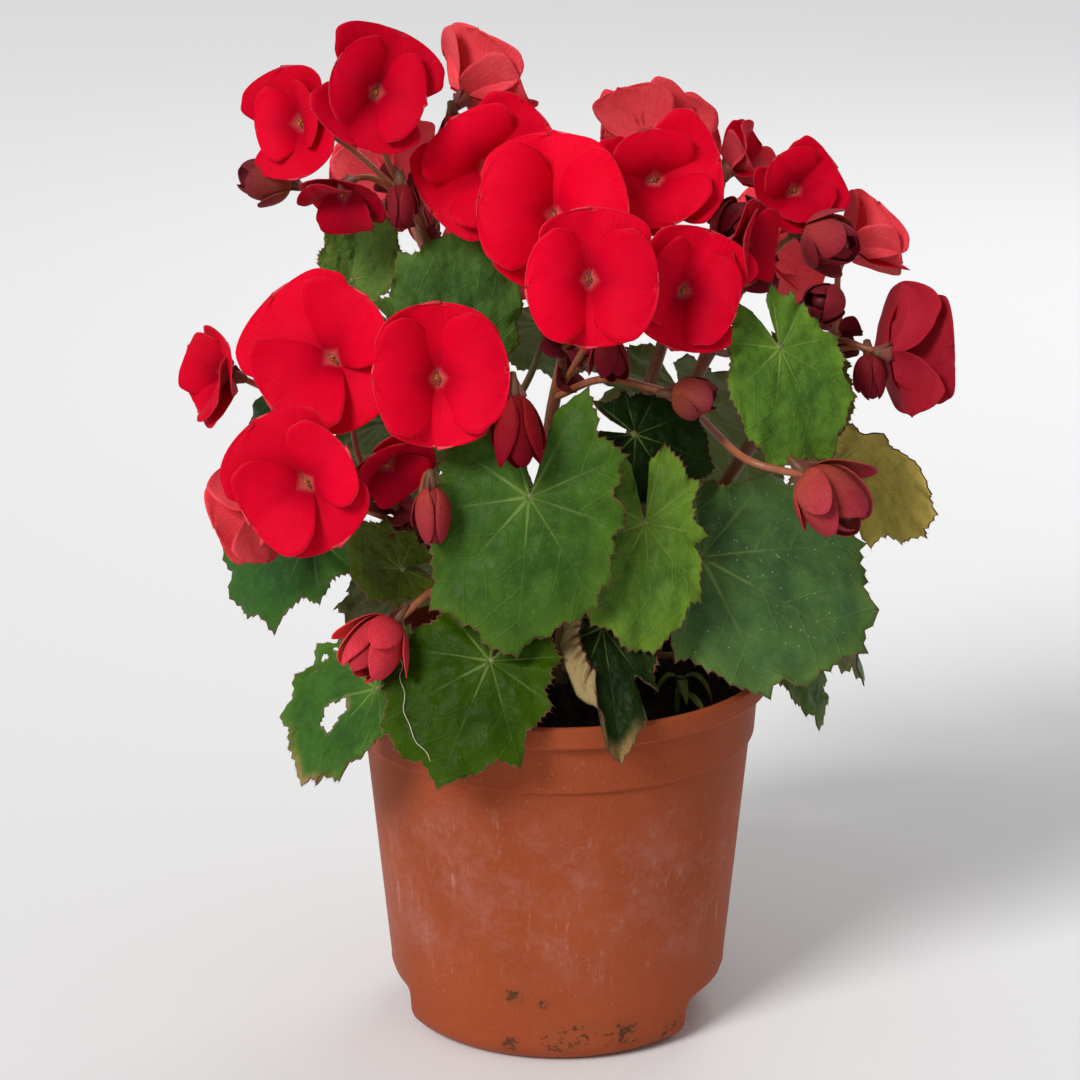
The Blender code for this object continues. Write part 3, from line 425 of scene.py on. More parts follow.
def leaf_finish():
    """Palmate veins that fork and fade towards the margin, faint side veins and a red-brown edge.

    flat is (along, across) from the petiole in leaf sizes, with the distance to the margin in mm.
    """
    s = Shader(
        "leaf",
        Specular_IOR_Level=0.06,
        Subsurface_Weight=0.05,
        Subsurface_Scale=0.002,
        Subsurface_Radius=(0.4, 1.0, 0.2),
    )
    tone, under = s.attribute("tone", "Color"), s.attribute("under", "Fac")
    x, y, edge = s.split(s.attribute("flat"))
    plane = s.join(x, y)
    radius = s.math("SQRT", x * x + y * y)
    turn = s.math("DIVIDE", s.math("ARCTAN2", y, x), math.radians(LOBE_STEP))
    vein = s.math("ROUND", turn)
    off = turn - vein
    angle = abs(off) * math.radians(LOBE_STEP)
    beside, along = radius * s.math("SINE", angle), radius * s.math("COSINE", angle)
    bowed = beside + (s.noise(plane, 4.0) - 0.5) * 0.045
    half = radius * -0.012 + 0.0185
    main = s.span(abs(bowed), half, 0.0) * s.span(radius, 0.08, 0.55, 1.0, 0.14)
    # side veins leave a main vein on alternate sides and run forwards to the margin
    wobble = (s.noise(plane, 9.0) - 0.5) * 0.048
    start = along - beside * 0.95 + s.math("SIGN", off) * 0.06 + (wobble + vein * 0.037)
    row = start * 4.6
    side = s.span(abs(row - s.math("ROUND", row)), 0.07, 0.0) * s.span(radius, 0.10, 0.3)
    # colour
    grain = s.noise(s.place(), 1300.0, 2.0, 0.6)
    broken = s.noise(plane, 16.0, 3.0, 0.6)
    patches = s.span(s.noise(plane, 3.2, 3.0, 0.6), 0.3, 0.7, 0.0, 0.9)
    blade = s.shade(patches, tone, (0.55, 0.60, 0.8))
    blade = s.shade(s.span(broken, 0.5, 0.8, 0.0, 0.4), blade, (1.7, 1.35, 1.7), tone)
    blade = s.shade(s.span(edge, 9.0, 0.5, 0.0, 0.55), blade, (1.55, 1.3, 0.9), tone)
    blade = s.shade(s.span(grain, 0.25, 0.75, 0.0, 0.35), blade, (1.4, 1.35, 1.3))
    blade = s.shade(side * 0.14, blade, (2.4, 1.8, 1.8), tone)
    hub = s.span(radius, 0.035, 0.0)
    vein_colour = s.mix(0.6, s.mix(1.0, tone, (2.6, 2.0, 2.4), "MULTIPLY"), (0.22, 0.29, 0.08))
    top = s.mix(s.math("MAXIMUM", main * 0.75, hub), blade, vein_colour)
    below = s.mix(0.55, tone, (0.25, 0.30, 0.12))
    below = s.mix(s.math("MAXIMUM", main, side * 0.6) * 0.7, below, (0.38, 0.34, 0.14))
    colour = s.mix(under, top, below)
    specks = s.span(s.cells(plane, 24.0), 0.11, 0.06) * s.attribute("specks", "Fac")
    specks = specks * s.span(s.noise(plane, 2.4), 0.38, 0.55)
    colour = s.mix(specks * 0.8, colour, (0.50, 0.56, 0.44))
    ragged = edge + (s.noise(plane, 30.0) - 0.5)
    colour = s.mix(s.span(ragged, 0.6, 0.15, 0.0, 0.85), colour, (0.20, 0.075, 0.05))
    # relief: veins sunk between raised cells, and the other way round behind
    height = s.math("MAXIMUM", main, side * 0.45) * -0.8 + broken * 1.3
    height = height + s.noise(plane, 5.5, 1.0) * 5.0 + grain * 0.16
    s.bump(height * (under * -2.0 + 1.0), 0.55, 0.8)
    return s.finish(colour, s.span(s.noise(plane, 6.0, 3.0), 0.3, 0.7, 0.34, 0.5))


def petal_finish(name, face, back, rim):
    """Velvety petals: fine rays from a pale throat, painted shade that darkens the face towards the throat,
    paler at the rim, rose and veined behind.

    flat is (across, along, distance to the margin) in mm.
    """
    s = Shader(
        name,
        Specular_IOR_Level=0.03,
        Sheen_Weight=0.03,
        Sheen_Roughness=0.4,
        Sheen_Tint=(1.0, 0.12, 0.2),
        Subsurface_Weight=0.1,
        Subsurface_Scale=0.002,
        Subsurface_Radius=(1.0, 0.05, 0.06),
    )
    tone, under = s.attribute("tone", "Color"), s.attribute("under", "Fac")
    x, y, edge = s.split(s.attribute("flat"))
    rays = s.noise(s.join(s.math("ARCTAN2", x, y + 3.0) * 9.0, y * 0.05), 3.0, 3.0, 0.62)
    veins = s.span(abs(rays - 0.5), 0.05, 0.0)
    grain = s.noise(s.place(), 1500.0, 2.0, 0.7)
    soft = s.noise(s.place(), 60.0, 2.0, 0.5)
    from_throat = y + abs(x)
    top = s.shade(s.span(rays, 0.35, 0.7, 0.0, 0.4), face, (0.74, 0.6, 0.8))
    top = s.shade(s.span(soft, 0.35, 0.75, 0.0, 0.4), top, (1.1, 5.0, 1.7), face)
    # painted shade: the face darkens towards the throat and down the middle, where the petals shade each other
    top = s.shade(s.span(from_throat, 18.0, 2.0, 0.0, 0.8), top, (0.52, 0.45, 0.75), face)
    throat = s.span(from_throat, 5.5, 1.0) * s.span(rays, 0.35, 0.6, 0.3, 0.85)
    top = s.mix(throat, top, (0.72, 0.16, 0.13))
    below = s.shade(s.span(soft, 0.35, 0.7, 0.0, 0.55), back, (1.25, 2.1, 1.7))
    below = s.shade(veins * 0.45, below, (0.62, 0.30, 0.45), back)
    colour = s.mix(under, top, below)
    colour = s.mix(s.span(edge, 0.35, 0.05, 0.0, rim), colour, (0.55, 0.06, 0.08))
    colour = s.shade(s.span(grain, 0.4, 0.8, 0.0, 0.25), colour, (1.2, 1.6, 1.4))
    s.bump(rays + grain * 0.25, 0.35, 0.6)
    return s.finish(s.mix(1.0, colour, tone, "MULTIPLY"), s.span(grain, 0.2, 0.8, 0.5, 0.65))


def plain_finish(name, roughness, specular):
    """The tone attribute with fine lengthwise mottling, for stems, hairs and stamens."""
    s = Shader(name, Specular_IOR_Level=specular)
    tone = s.attribute("tone", "Color")
    x, y, z = s.split(s.place())
    fine = s.noise(s.join(x, y, z * 0.35), 700.0, 3.0, 0.6)
    broad = s.noise(s.place(), 45.0, 2.0)
    colour = s.shade(s.span(fine, 0.35, 0.7, 0.0, 0.6), tone, (0.6, 0.6, 0.6))
    colour = s.shade(s.span(broad, 0.4, 0.65, 0.0, 0.4), colour, (1.35, 1.2, 1.1), tone)
    s.bump(fine, 0.12)
    return s.finish(colour, roughness)


# Spots of soil on the pot's front: across, height and reach.
DIRT_SPOTS = ((-15.0, 26.0, 5.0), (-5.0, 24.0, 3.5), (23.0, 11.0, 8.0), (-17.0, 7.0, 6.0))


def pot_finish():
    """Matte brown-red plastic with rubbed pale streaks on its front, and crumbs of soil low down."""
    s = Shader("pot_plastic", Specular_IOR_Level=0.05)
    where = s.place()
    x, y, z = s.split(where)
    broad = s.noise(where, 14.0, 3.0, 0.55)
    fine = s.noise(where, 900.0, 2.0, 0.6)
    colour = s.mix(s.span(broad, 0.3, 0.7), (0.295, 0.057, 0.019), (0.368, 0.077, 0.028))
    colour = s.mix(s.span(fine, 0.45, 0.8, 0.0, 0.35), colour, (0.40, 0.105, 0.05))
    # chalky rubbing: upright streaks that break up, mostly over the middle of the front
    around = s.math("ARCTAN2", x, y * -1.0) * 0.065
    wall = s.join(around, z)
    streak = s.span(s.noise(s.join(around, z * 0.16), 420.0, 4.0, 0.65), 0.50, 0.66)
    broken = s.span(s.noise(s.join(around, z * 0.9), 160.0, 4.0, 0.7), 0.45, 0.7)
    patch = s.span(s.noise(wall, 30.0, 2.0), 0.36, 0.62)
    band = s.span(z, 0.022, 0.045) * s.span(z, 0.108, 0.075)
    rub = streak * broken * (patch * band)
    colour = s.mix(rub * 0.75, colour, (0.50, 0.30, 0.23))
    veil = s.span(s.noise(wall, 40.0, 6.0, 0.75), 0.42, 0.70) * band
    colour = s.mix(veil * 0.42, colour, (0.44, 0.17, 0.14))
    specks = s.span(s.cells(where, 330.0), 0.16, 0.06) * s.span(s.noise(where, 38.0), 0.5, 0.62)
    colour = s.mix(specks * 0.25, colour, (0.52, 0.33, 0.26))
    # soil that clings low on the wall, most of it in spots on the front
    dirty = s.span(z, 0.030, 0.006) * s.span(s.noise(where, 55.0, 3.0), 0.50, 0.66) * 0.6
    for spot_x, spot_z, reach in DIRT_SPOTS:
        dx, dz = x - spot_x * MM, z - spot_z * MM
        spot = s.span(s.math("SQRT", dx * dx + dz * dz), reach * MM, 0.0)
        dirty = s.math("MAXIMUM", dirty, spot * s.span(y, -0.01, -0.03))
    colour = s.mix(dirty * 0.35, colour, (0.13, 0.06, 0.03))
    crumbs = s.span(dirty * 0.20 + s.noise(where, 420.0, 3.0, 0.7), 0.64, 0.74) * s.span(dirty, 0.0, 0.1)
    colour = s.mix(crumbs * 0.75, colour, (0.05, 0.028, 0.016))
    s.bump(fine + crumbs * 2.0, 0.12, 0.5)
    return s.finish(colour, rub * 0.25 + s.span(broad, 0.3, 0.7, 0.40, 0.50))


def soil_finish():
    s = Shader("peat", Specular_IOR_Level=0.2)
    where = s.place()
    broad = s.noise(where, 60.0, 4.0, 0.6)
    fine = s.noise(where, 900.0, 3.0, 0.65)
    colour = s.mix(s.span(broad, 0.3, 0.7), (0.009, 0.006, 0.004), (0.030, 0.018, 0.011))
    colour = s.mix(s.span(fine, 0.55, 0.75, 0.0, 0.7), colour, (0.075, 0.045, 0.026))
    s.bump(fine + broad, 0.8)
    return s.finish(colour, 0.92)


# ---------------------------------------------------------------- meshes


class Part(NamedTuple):
    """Points in mm with faces, the index of their finish, and what the shaders read at each point."""

    points: np.ndarray
    faces: list
    finish: int
    flat: np.ndarray
    tone: np.ndarray
    under: np.ndarray


def part(points, faces, finish=0, flat=0.0, tone=1.0, under=0.0):
    points = np.asarray(points, float)
    flat, tone = (np.broadcast_to(np.asarray(value, float), (len(points), 3)) for value in (flat, tone))
    faces = [[int(i) for i in face] for face in faces]
    return Part(points, faces, finish, flat, tone, np.broadcast_to(under, len(points)))


def piece(title, node, parts, finishes, specks=0.0):
    """One object made of parts, which replaces the CAD node."""
    firsts = np.cumsum([0, *(len(p.points) for p in parts[:-1])])
    faces = [[i + first for i in face] for p, first in zip(parts, firsts) for face in p.faces]
    points, flat, tone, under = (
        np.concatenate([getattr(p, name) for p in parts]) for name in ("points", "flat", "tone", "under")
    )
    mesh = bpy.data.meshes.new(title)
    mesh.from_pydata((points * MM).tolist(), [], faces)
    for finish in finishes:
        mesh.materials.append(finish)
    indices = np.concatenate([np.full(len(p.faces), p.finish) for p in parts])
    mesh.polygons.foreach_set("material_index", indices)
    for name, kind, socket, values in (
        ("flat", "FLOAT_VECTOR", "vector", flat),
        ("tone", "FLOAT_COLOR", "color", np.column_stack([tone, np.ones(len(tone))])),
        ("under", "FLOAT", "value", under),
        ("specks", "FLOAT", "value", np.full(len(points), specks)),
    ):
        mesh.attributes.new(name, kind, "POINT").data.foreach_set(socket, values.ravel())
    mesh.shade_smooth()
    made = bpy.data.objects.new(title, mesh)
    bpy.context.scene.collection.objects.link(made)
    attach(made, "root")
    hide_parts(node)
    return made


def grid_faces(rows, columns, closed=False):
    faces = []
    for r in range(rows - 1):
        for c in range(columns if closed else columns - 1):
            n = (c + 1) % columns
            faces.append((r * columns + c, r * columns + n, (r + 1) * columns + n, (r + 1) * columns + c))
    return np.array(faces)


def caps(sides, first_tip, last_ring):
    """Faces that join the first ring of points to the point first_tip, and the last ring to the next."""
    faces = [(first_tip, (k + 1) % sides, k) for k in range(sides)]
    return faces + [(first_tip + 1, last_ring + k, last_ring + (k + 1) % sides) for k in range(sides)]


def sheet(points, rows, columns, thickness, flat, tone, back_tone=None, holes=None):
    """A grid of points given a thickness, closed round its edge and its holes. under is 1 behind."""
    grid = points.reshape(rows, columns, 3)
    down, right = np.gradient(grid, axis=0), np.gradient(grid, axis=1)
    normals = np.cross(right, down)
    lengths = np.linalg.norm(normals, axis=2, keepdims=True)
    typical = unit(normals.sum(axis=(0, 1)))
    normals = np.where(lengths > 1e-6, normals / np.maximum(lengths, 1e-9), typical).reshape(-1, 3)
    count = rows * columns
    faces = grid_faces(rows, columns)
    if holes is not None:
        faces = faces[~holes]
    edges = np.concatenate([faces[:, [k, (k + 1) % 4]] for k in range(4)])
    rim = edges[~np.isin(edges @ (count, 1), edges @ (1, count))]
    walls = np.column_stack([rim, rim[:, ::-1] + count])
    both = np.concatenate([points + normals * thickness / 2, points - normals * thickness / 2])
    faces = np.concatenate([faces[:, ::-1], faces + count, walls])
    tone = np.broadcast_to(tone, (count, 3))
    back_tone = tone if back_tone is None else np.broadcast_to(back_tone, (count, 3))
    under = np.repeat([0.0, 1.0], count)
    return part(both, faces, 0, np.concatenate([flat, flat]), np.concatenate([tone, back_tone]), under)


def tube(path, radii, sides, finish, tone):
    """A round rod along a path, closed at both ends with domes."""
    path = np.asarray(path, float)
    radii = np.broadcast_to(radii, len(path))
    tangents = np.gradient(path, axis=0)
    tangents /= np.linalg.norm(tangents, axis=1)[:, None]
    side = np.array((0.31, 0.83, 0.46))
    turns = np.arange(sides) * 2 * math.pi / sides
    rings = []
    for point, tangent, radius in zip(path, tangents, radii):
        side = unit(side - tangent * (side @ tangent))
        other = np.cross(tangent, side)
        rings.append(point + radius * (np.outer(np.cos(turns), side) + np.outer(np.sin(turns), other)))
    ends = [path[0] - 0.4 * radii[0] * tangents[0], path[-1] + 0.4 * radii[-1] * tangents[-1]]
    points = np.concatenate([*rings, ends])
    faces = grid_faces(len(path), sides, closed=True).tolist()
    faces += caps(sides, len(points) - 2, (len(path) - 1) * sides)
    tone = np.broadcast_to(tone, (len(path), 3))
    tone = np.concatenate([np.repeat(tone, sides, axis=0), tone[:1], tone[-1:]])
    return part(points, faces, finish, tone=tone)


def square_to(ways):
    """Unit vectors square to these ones."""
    side = np.cross(ways, (0.37, 0.55, 0.75))
    return side / np.linalg.norm(side, axis=1)[:, None]


def bristles(roots, ways, lengths, radius, finish, tone):
    """Fine hairs: three-sided spikes."""
    ways = ways / np.linalg.norm(ways, axis=1)[:, None]
    side = square_to(ways)
    other = np.cross(ways, side)
    corners = [
        roots - 0.2 * ways + radius * (math.cos(t) * side + math.sin(t) * other) for t in (0.0, 2.094, 4.189)
    ]
    points = np.stack([*corners, roots + ways * lengths[:, None]], axis=1).reshape(-1, 3)
    firsts = 4 * np.arange(len(roots))[:, None, None]
    faces = firsts + np.array([[0, 1, 3], [1, 2, 3], [2, 0, 3], [0, 2, 1]])
    return part(points, faces.reshape(-1, 3), finish, tone=tone)


def hairs_on(path, radii, rng, density, length, finish, tone):
    """Hairs that stand out from a rod."""
    steps = np.linalg.norm(np.diff(path, axis=0), axis=1)
    count = max(4, int(density * steps.sum()))
    where = rng.uniform(0, len(path) - 1.001, count)
    low = where.astype(int)
    along = path[low + 1] - path[low]
    centre = path[low] + along * (where - low)[:, None]
    along /= np.linalg.norm(along, axis=1)[:, None]
    turn = rng.uniform(0, 2 * math.pi, count)[:, None]
    side = square_to(along)
    out = np.cos(turn) * side + np.sin(turn) * np.cross(along, side)
    ways = out + along * rng.uniform(-0.5, 0.3, (count, 1))
    roots = centre + out * np.broadcast_to(radii, len(path))[low][:, None] * 0.9
    return bristles(roots, ways, rng.uniform(0.5, 1.0, count) * length, 0.055, finish, tone)


def ball(centre, axes, radii, rings, sides, finish, tone):
    polar = np.linspace(0, math.pi, rings + 1)[1:-1]
    turns = np.arange(sides) * 2 * math.pi / sides
    p, t = np.meshgrid(polar, turns, indexing="ij")
    local = np.stack([np.sin(p) * np.cos(t), np.sin(p) * np.sin(t), np.cos(p)], -1).reshape(-1, 3)
    local = np.concatenate([local, [[0, 0, 1], [0, 0, -1]]]) * radii
    faces = grid_faces(rings - 1, sides, closed=True).tolist()
    faces += caps(sides, len(local) - 2, (rings - 2) * sides)
    return part(centre + local @ np.asarray(axes), [f[::-1] for f in faces], finish, tone=tone)


# ---------------------------------------------------------------- leaves

LEAF_THICKNESS = 0.5
TEETH = 8  # fine teeth to a lobe, two columns of points to a tooth
TOOTH_TIP, TOOTH_GAP = 0.015, -0.013  # shares of the way to the margin
RHO = (0.015, 0.06, 0.12, 0.19, 0.27, 0.35, 0.43, 0.51, 0.59, 0.67, 0.74, 0.81, 0.87, 0.92, 0.96, 1.0)
FRINGE_TONE, LEAF_HAIR_TONE = (0.26, 0.10, 0.06), (0.33, 0.16, 0.10)
PETIOLE_TONES = (np.array((0.20, 0.085, 0.035)), np.array((0.15, 0.17, 0.045)))  # at its foot and at the blade
THREAD_TONE = (0.55, 0.52, 0.36)


def peak(turn):
    """1 in a sharp point at each whole turn, and -1 in a round valley between them."""
    return 1 - 2 * np.abs(np.sin(math.pi * turn)) ** 1.15


def leaf_points(leaf, theta, rho, teeth):
    """Blade points theta degrees round from the tip, rho from the petiole (0) to the margin (1)."""
    right, up, out = facing_frame(*leaf.facing)
    clock = math.radians(leaf.clock)
    tip = math.cos(clock) * up + math.sin(clock) * right
    side = np.cross(tip, out)
    a, lobe, phase, size = np.radians(theta), theta / LOBE_STEP, leaf.phase, leaf.size
    # outline: a lopsided oval, drawn in beside the petiole, with lobes, teeth and uneven waves
    oval = 0.70 + 0.22 * np.cos(a) + 0.08 * np.cos(2 * a) + leaf.skew * np.sin(a) * (1 + np.cos(a)) / 1.3
    oval = oval + leaf.back * (0.5 - 0.5 * np.cos(a)) ** 2
    basal = 1 - 0.28 * np.clip((np.abs(theta) - 150) / 20, 0, 1) ** 2
    lobes = 0.75 * LOBE_DEPTH * peak(lobe) + 0.55 * TOOTH_DEPTH * peak(lobe * leaf.teeth)
    lobes = lobes + 0.016 * np.sin(3.1 * a + 2 * phase) + 0.012 * np.sin(5.7 * a + phase)
    lobes = lobes + 0.022 * np.sin(11.3 * a + 5 * phase) * (1 + 0.5 * np.sin(4.1 * a))
    lobes = lobes + 0.012 * np.sin(19.7 * a + 3 * phase)
    reach = size * basal * rho * (oval + lobes * rho**2 + teeth * rho**14)
    along, across = reach * np.cos(a), reach * np.sin(a) * leaf.width
    flat = np.stack([reach * np.cos(a), reach * np.sin(a)], 1) / size
    # height off the blade's plane: droop, fold, arch, waves, pleats between the veins, then frills
    bend = math.radians(leaf.droop) / size * np.where(along > 0, 1.0, 0.45)
    between = 0.5 - 0.5 * np.cos(2 * math.pi * lobe)
    rise = (
        -(1 - np.cos(bend * along)) / bend
        + math.tan(math.radians(leaf.fold)) * (np.hypot(across, 0.08 * size) - 0.08 * size)
        - leaf.arch * across**2 / size
        + WAVE_HEIGHT * leaf.wave * size * rho**2 * np.sin(2.6 * a + phase)
        + PLEAT_HEIGHT * size * rho * between
        + 0.009 * size * rho * between * np.cos(2 * math.pi * (5 * rho - 1.2 * between))
        + 0.012 * size * rho * np.sin(9 * rho + 4.3 * a + phase) * np.sin(3.7 * a + 6 * rho)
        + 0.030 * size * rho**5 * np.sin(2 * math.pi * lobe * 1.5 + 3 * phase)
        + 0.014 * size * rho**9 * np.sin(22.3 * a + 7 * phase)
    )
    along = np.sin(bend * along) / bend
    points = np.asarray(leaf.joint) + np.outer(along, tip) + np.outer(across, side) + np.outer(rise, out)
    return points, flat, (1 - rho) * reach


def petiole_path(leaf, stem_path, stem, count):
    """From inside the stem's side to the back of the blade."""
    out = facing_frame(*leaf.facing)[2]
    near, _, _ = leaf_points(leaf, np.array([0.0]), np.array([0.3]), 0.0)
    tip = unit(near[0] - leaf.joint)
    root, share = at_height(stem_path, leaf.height)
    along = unit(at_height(stem_path, leaf.height + 5)[0] - root)
    end = np.asarray(leaf.joint, float)
    away = unit((end - root) * (1, 1, 0))
    away = unit(away - (away @ along) * along)
    radius = stem.radius + (stem.head_radius - stem.radius) * share
    root = root + away * (radius - GAP)
    length = np.linalg.norm(end - root)
    arrive = unit(0.8 * out + 0.5 * tip)
    return bezier(root, root + 0.35 * length * away, end - length * 0.32 * arrive, end, count)


def thread_on(leaf, ends):
    """A thin pale thread that lies straight across the blade."""
    turn, rho = np.radians([end[0] for end in ends]), np.array([end[1] for end in ends])
    across = np.linspace(0, 1, 24)
    x, y = (np.interp(across, (0, 1), rho * way) for way in (np.cos(turn), np.sin(turn)))
    path, _, _ = leaf_points(leaf, np.degrees(np.arctan2(y, x)), np.hypot(x, y), 0.0)
    path = path + np.outer(0.7 + 0.5 * np.sin(math.pi * across), facing_frame(*leaf.facing)[2])
    return tube(path, 0.16, 5, 1, THREAD_TONE)


def build_leaf(index, name, leaf, finishes):
    rng = np.random.default_rng(100 + index)
    look = LEAF_LOOKS.get(name, LeafLook())
    step = LOBE_STEP / TEETH / 2
    count = int(BLADE_SPAN / step)
    columns = np.arange(-count, count + 1)
    teeth = rng.uniform(0.3, 1.5, len(columns)) * np.where(columns % 2, TOOTH_GAP, TOOTH_TIP)
    fine_columns = np.linspace(-count, count, look.fine * (len(columns) - 1) + 1)
    theta, teeth = fine_columns * step, np.interp(fine_columns, columns, teeth)
    rows = look.fine * (len(RHO) - 1) + 1
    rho = np.interp(np.linspace(0, 1, rows), np.linspace(0, 1, len(RHO)), RHO)
    grid_theta, grid_rho = (grid.ravel() for grid in np.meshgrid(theta, rho))
    points, flat, edge = leaf_points(leaf, grid_theta, grid_rho, np.tile(teeth, rows))
    tone = np.asarray(look.tone) * (1 + 0.06 * rng.standard_normal(3))
    back, holes = np.asarray(look.back), None
    if look.change:
        points, dry, bitten = look.change(leaf, points, grid_theta, grid_rho)
        dry = dry[:, None]
        tone, back = (1 - dry) * tone + dry * DRY, (1 - dry) * back + dry * DRY_BACK
        if bitten is not None:
            holes = bitten.reshape(rows, -1)[:-1, :-1].ravel()
    flat = np.column_stack([flat, edge])
    blade = sheet(points, rows, len(theta), LEAF_THICKNESS, flat, tone, back, holes)
    edge_points = points.reshape(rows, len(theta), 3)
    ways = edge_points[-1] - edge_points[-2]
    ways += 0.35 * np.linalg.norm(ways, axis=1)[:, None] * rng.standard_normal(ways.shape)
    fringe = [
        bristles(edge_points[-1], way, rng.uniform(0.5, 1.5, len(ways)), 0.075, 1, FRINGE_TONE)
        for way in (ways, ways + 0.6 * np.roll(ways, 3, axis=0))
    ]
    stem = STEMS[leaf.stem]
    path = petiole_path(leaf, smooth_path(stem.path, 8), stem, 22)
    along = np.linspace(0, 1, len(path))
    radii = np.interp(along, (0, 0.12, 0.8, 1), (2.0, 1.4, 1.25, 1.5))
    tones = (1 - along[:, None]) * PETIOLE_TONES[0] + along[:, None] * PETIOLE_TONES[1]
    parts = [blade, *fringe, tube(path, radii, 12, 1, tones)]
    parts.append(hairs_on(path, radii, rng, 1.6, 1.5, 1, LEAF_HAIR_TONE))
    if look.thread:
        parts.append(thread_on(leaf, look.thread))
    piece(f"{name}_fine", name, parts, finishes, look.specks)


class LeafLook(NamedTuple):
    """Colours of the two faces, how many pale specks it has, and what is special in its shape."""

    tone: tuple = (0.040, 0.105, 0.014)
    back: tuple = (0.11, 0.16, 0.04)
    specks: float = 0.0
    change: object = None
    fine: int = 1  # each face of the blade is divided into this many along and across
    thread: tuple = ()  # where a thread's two ends lie, each (degrees from the tip, share of the way)


def gentle(value, low, high):
    """A smooth step from 0 at low to 1 at high."""
    t = np.clip((value - low) / (high - low), 0, 1)
    return t * t * (3 - 2 * t)


FOLD_AT = 0.68  # share of the way to the margin at which the dead margin folds over
FOLD_BACK, FOLD_HEIGHT = 1.85, 9.0
BAY_DEPTH = 0.38


def withered(leaf, points, theta, rho):
    """A dead margin curls forwards over the blade, the other is ragged, and the tip is crisp and brown."""
    out = facing_frame(*leaf.facing)[2]
    edge = gentle(theta, 8, 30) * gentle(-theta, -150, -110)
    tip = gentle(rho, 0.84, 0.96) * np.exp(-(((theta + 2) / 12) ** 2))
    folded = np.clip(rho - FOLD_AT, 0, 1) * edge
    crisp = np.sin(0.55 * theta + 5 * rho) * (gentle(rho, 0.8, 1.0) * edge + tip)
    inward = np.asarray(leaf.joint) - points
    bays = BAY_DEPTH * gentle(rho, 0.4, 1.0) * gentle(-theta, 5, 20)
    bays = bays * np.clip(np.sin(np.radians(9.0 * theta) + 0.6), 0, 1)
    points = points + (FOLD_BACK * folded / rho + bays)[:, None] * inward
    points = points + np.outer(crisp + FOLD_HEIGHT * np.sqrt(folded * (FOLD_AT + 0.1)), out)
    return points, np.clip(gentle(folded, 0.0, 0.03) + 0.7 * tip, 0, 1), None


# Holes, as (along, across) from the petiole and their half sizes, in shares of the way to the margin.
EATEN = (
    (0.40, 0.16, 0.15, 0.10), (0.24, 0.80, 0.040, 0.030), (0.10, 0.84, 0.028, 0.040),
    (0.36, 0.74, 0.030, 0.022), (-0.08, 0.80, 0.045, 0.025),
)
LOWER_FOLD, CRINKLE = 7.0, 0.9  # heights off the blade's plane


def eaten(leaf, points, theta, rho):
    """A large hole and several small ones, dry round their edges, in a blade with its lower half folded."""
    out = facing_frame(*leaf.facing)[2]
    a = np.radians(theta)
    x, y = rho * np.cos(a), rho * np.sin(a)
    near = np.full(len(x), 9.0)  # 1 on the nearest hole's edge
    for cx, cy, along, across in EATEN:
        angle = np.arctan2(y - cy, x - cx)
        wave = 1 + 0.16 * np.sin(3 * angle + 9 * cx) + 0.10 * np.sin(7 * angle)
        near = np.minimum(near, np.hypot((x - cx) / along, (y - cy) / across) / wave)
    fold = gentle(-y, 0.0, 0.8)
    crinkle = CRINKLE * rho * (np.sin(11 * x + 4 * y) * np.sin(13 * y - 5 * x) + 0.5 * np.sin(23 * x + 17 * y))
    points = points + np.outer(fold * rho * LOWER_FOLD + crinkle, out)
    dry = 0.55 * gentle(-near, -1.3, -1.0) + 0.7 * gentle(rho, 0.86, 1.0) * np.exp(-((theta / 22) ** 2))
    return points, np.clip(dry, 0, 1), near < 1


DRY, DRY_BACK = (0.30, 0.20, 0.09), (0.42, 0.14, 0.08)
# DARK: a deep green made darker still by painted shade, for leaves that lie under the foliage
DARK = (0.009, 0.024, 0.003)
# a blue-grey green that is partly the leaf's own colour and partly painted sheen: lightened and blued for the
# soft gloss highlight on these leaves
BLUISH_WITH_SHEEN = (0.066, 0.122, 0.032)
OLIVE = (0.050, 0.068, 0.004)
# Each tone is the leaf's own green, except that leaf_low_centre, leaf_middle_dark and leaf_low_dark are darker:
# painted shade in place of the shadow of the flowers and leaves above them
LEAF_LOOKS = {
    "leaf_front_centre": LeafLook((0.044, 0.106, 0.013), specks=0.3),
    "leaf_front_small": LeafLook((0.080, 0.165, 0.017)),
    "leaf_right_large": LeafLook(BLUISH_WITH_SHEEN, specks=1.0),
    "leaf_right_upper": LeafLook((0.078, 0.175, 0.020)),
    "leaf_middle_dark": LeafLook((0.006, 0.017, 0.002)),
    "leaf_low_centre": LeafLook((0.028, 0.066, 0.0012), thread=((75, 0.96), (8, 0.93))),
    "leaf_low_dark": LeafLook(DARK, change=withered, fine=2),
    "leaf_low_left": LeafLook((0.048, 0.118, 0.016), change=eaten, fine=3),
    "leaf_side_left": LeafLook(OLIVE),
    "leaf_left": LeafLook((0.030, 0.090, 0.017)),
    "leaf_far_left": LeafLook(DARK),
    "leaf_top_left": LeafLook((0.056, 0.130, 0.024)),
    "leaf_young": LeafLook((0.09, 0.16, 0.03)),
    "leaf_right_under": LeafLook(BLUISH_WITH_SHEEN),
    "leaf_right_olive": LeafLook(OLIVE),
    "leaf_far_right": LeafLook((0.36, 0.24, 0.02), (0.80, 0.46, 0.04)),
}


# ---------------------------------------------------------------- flowers

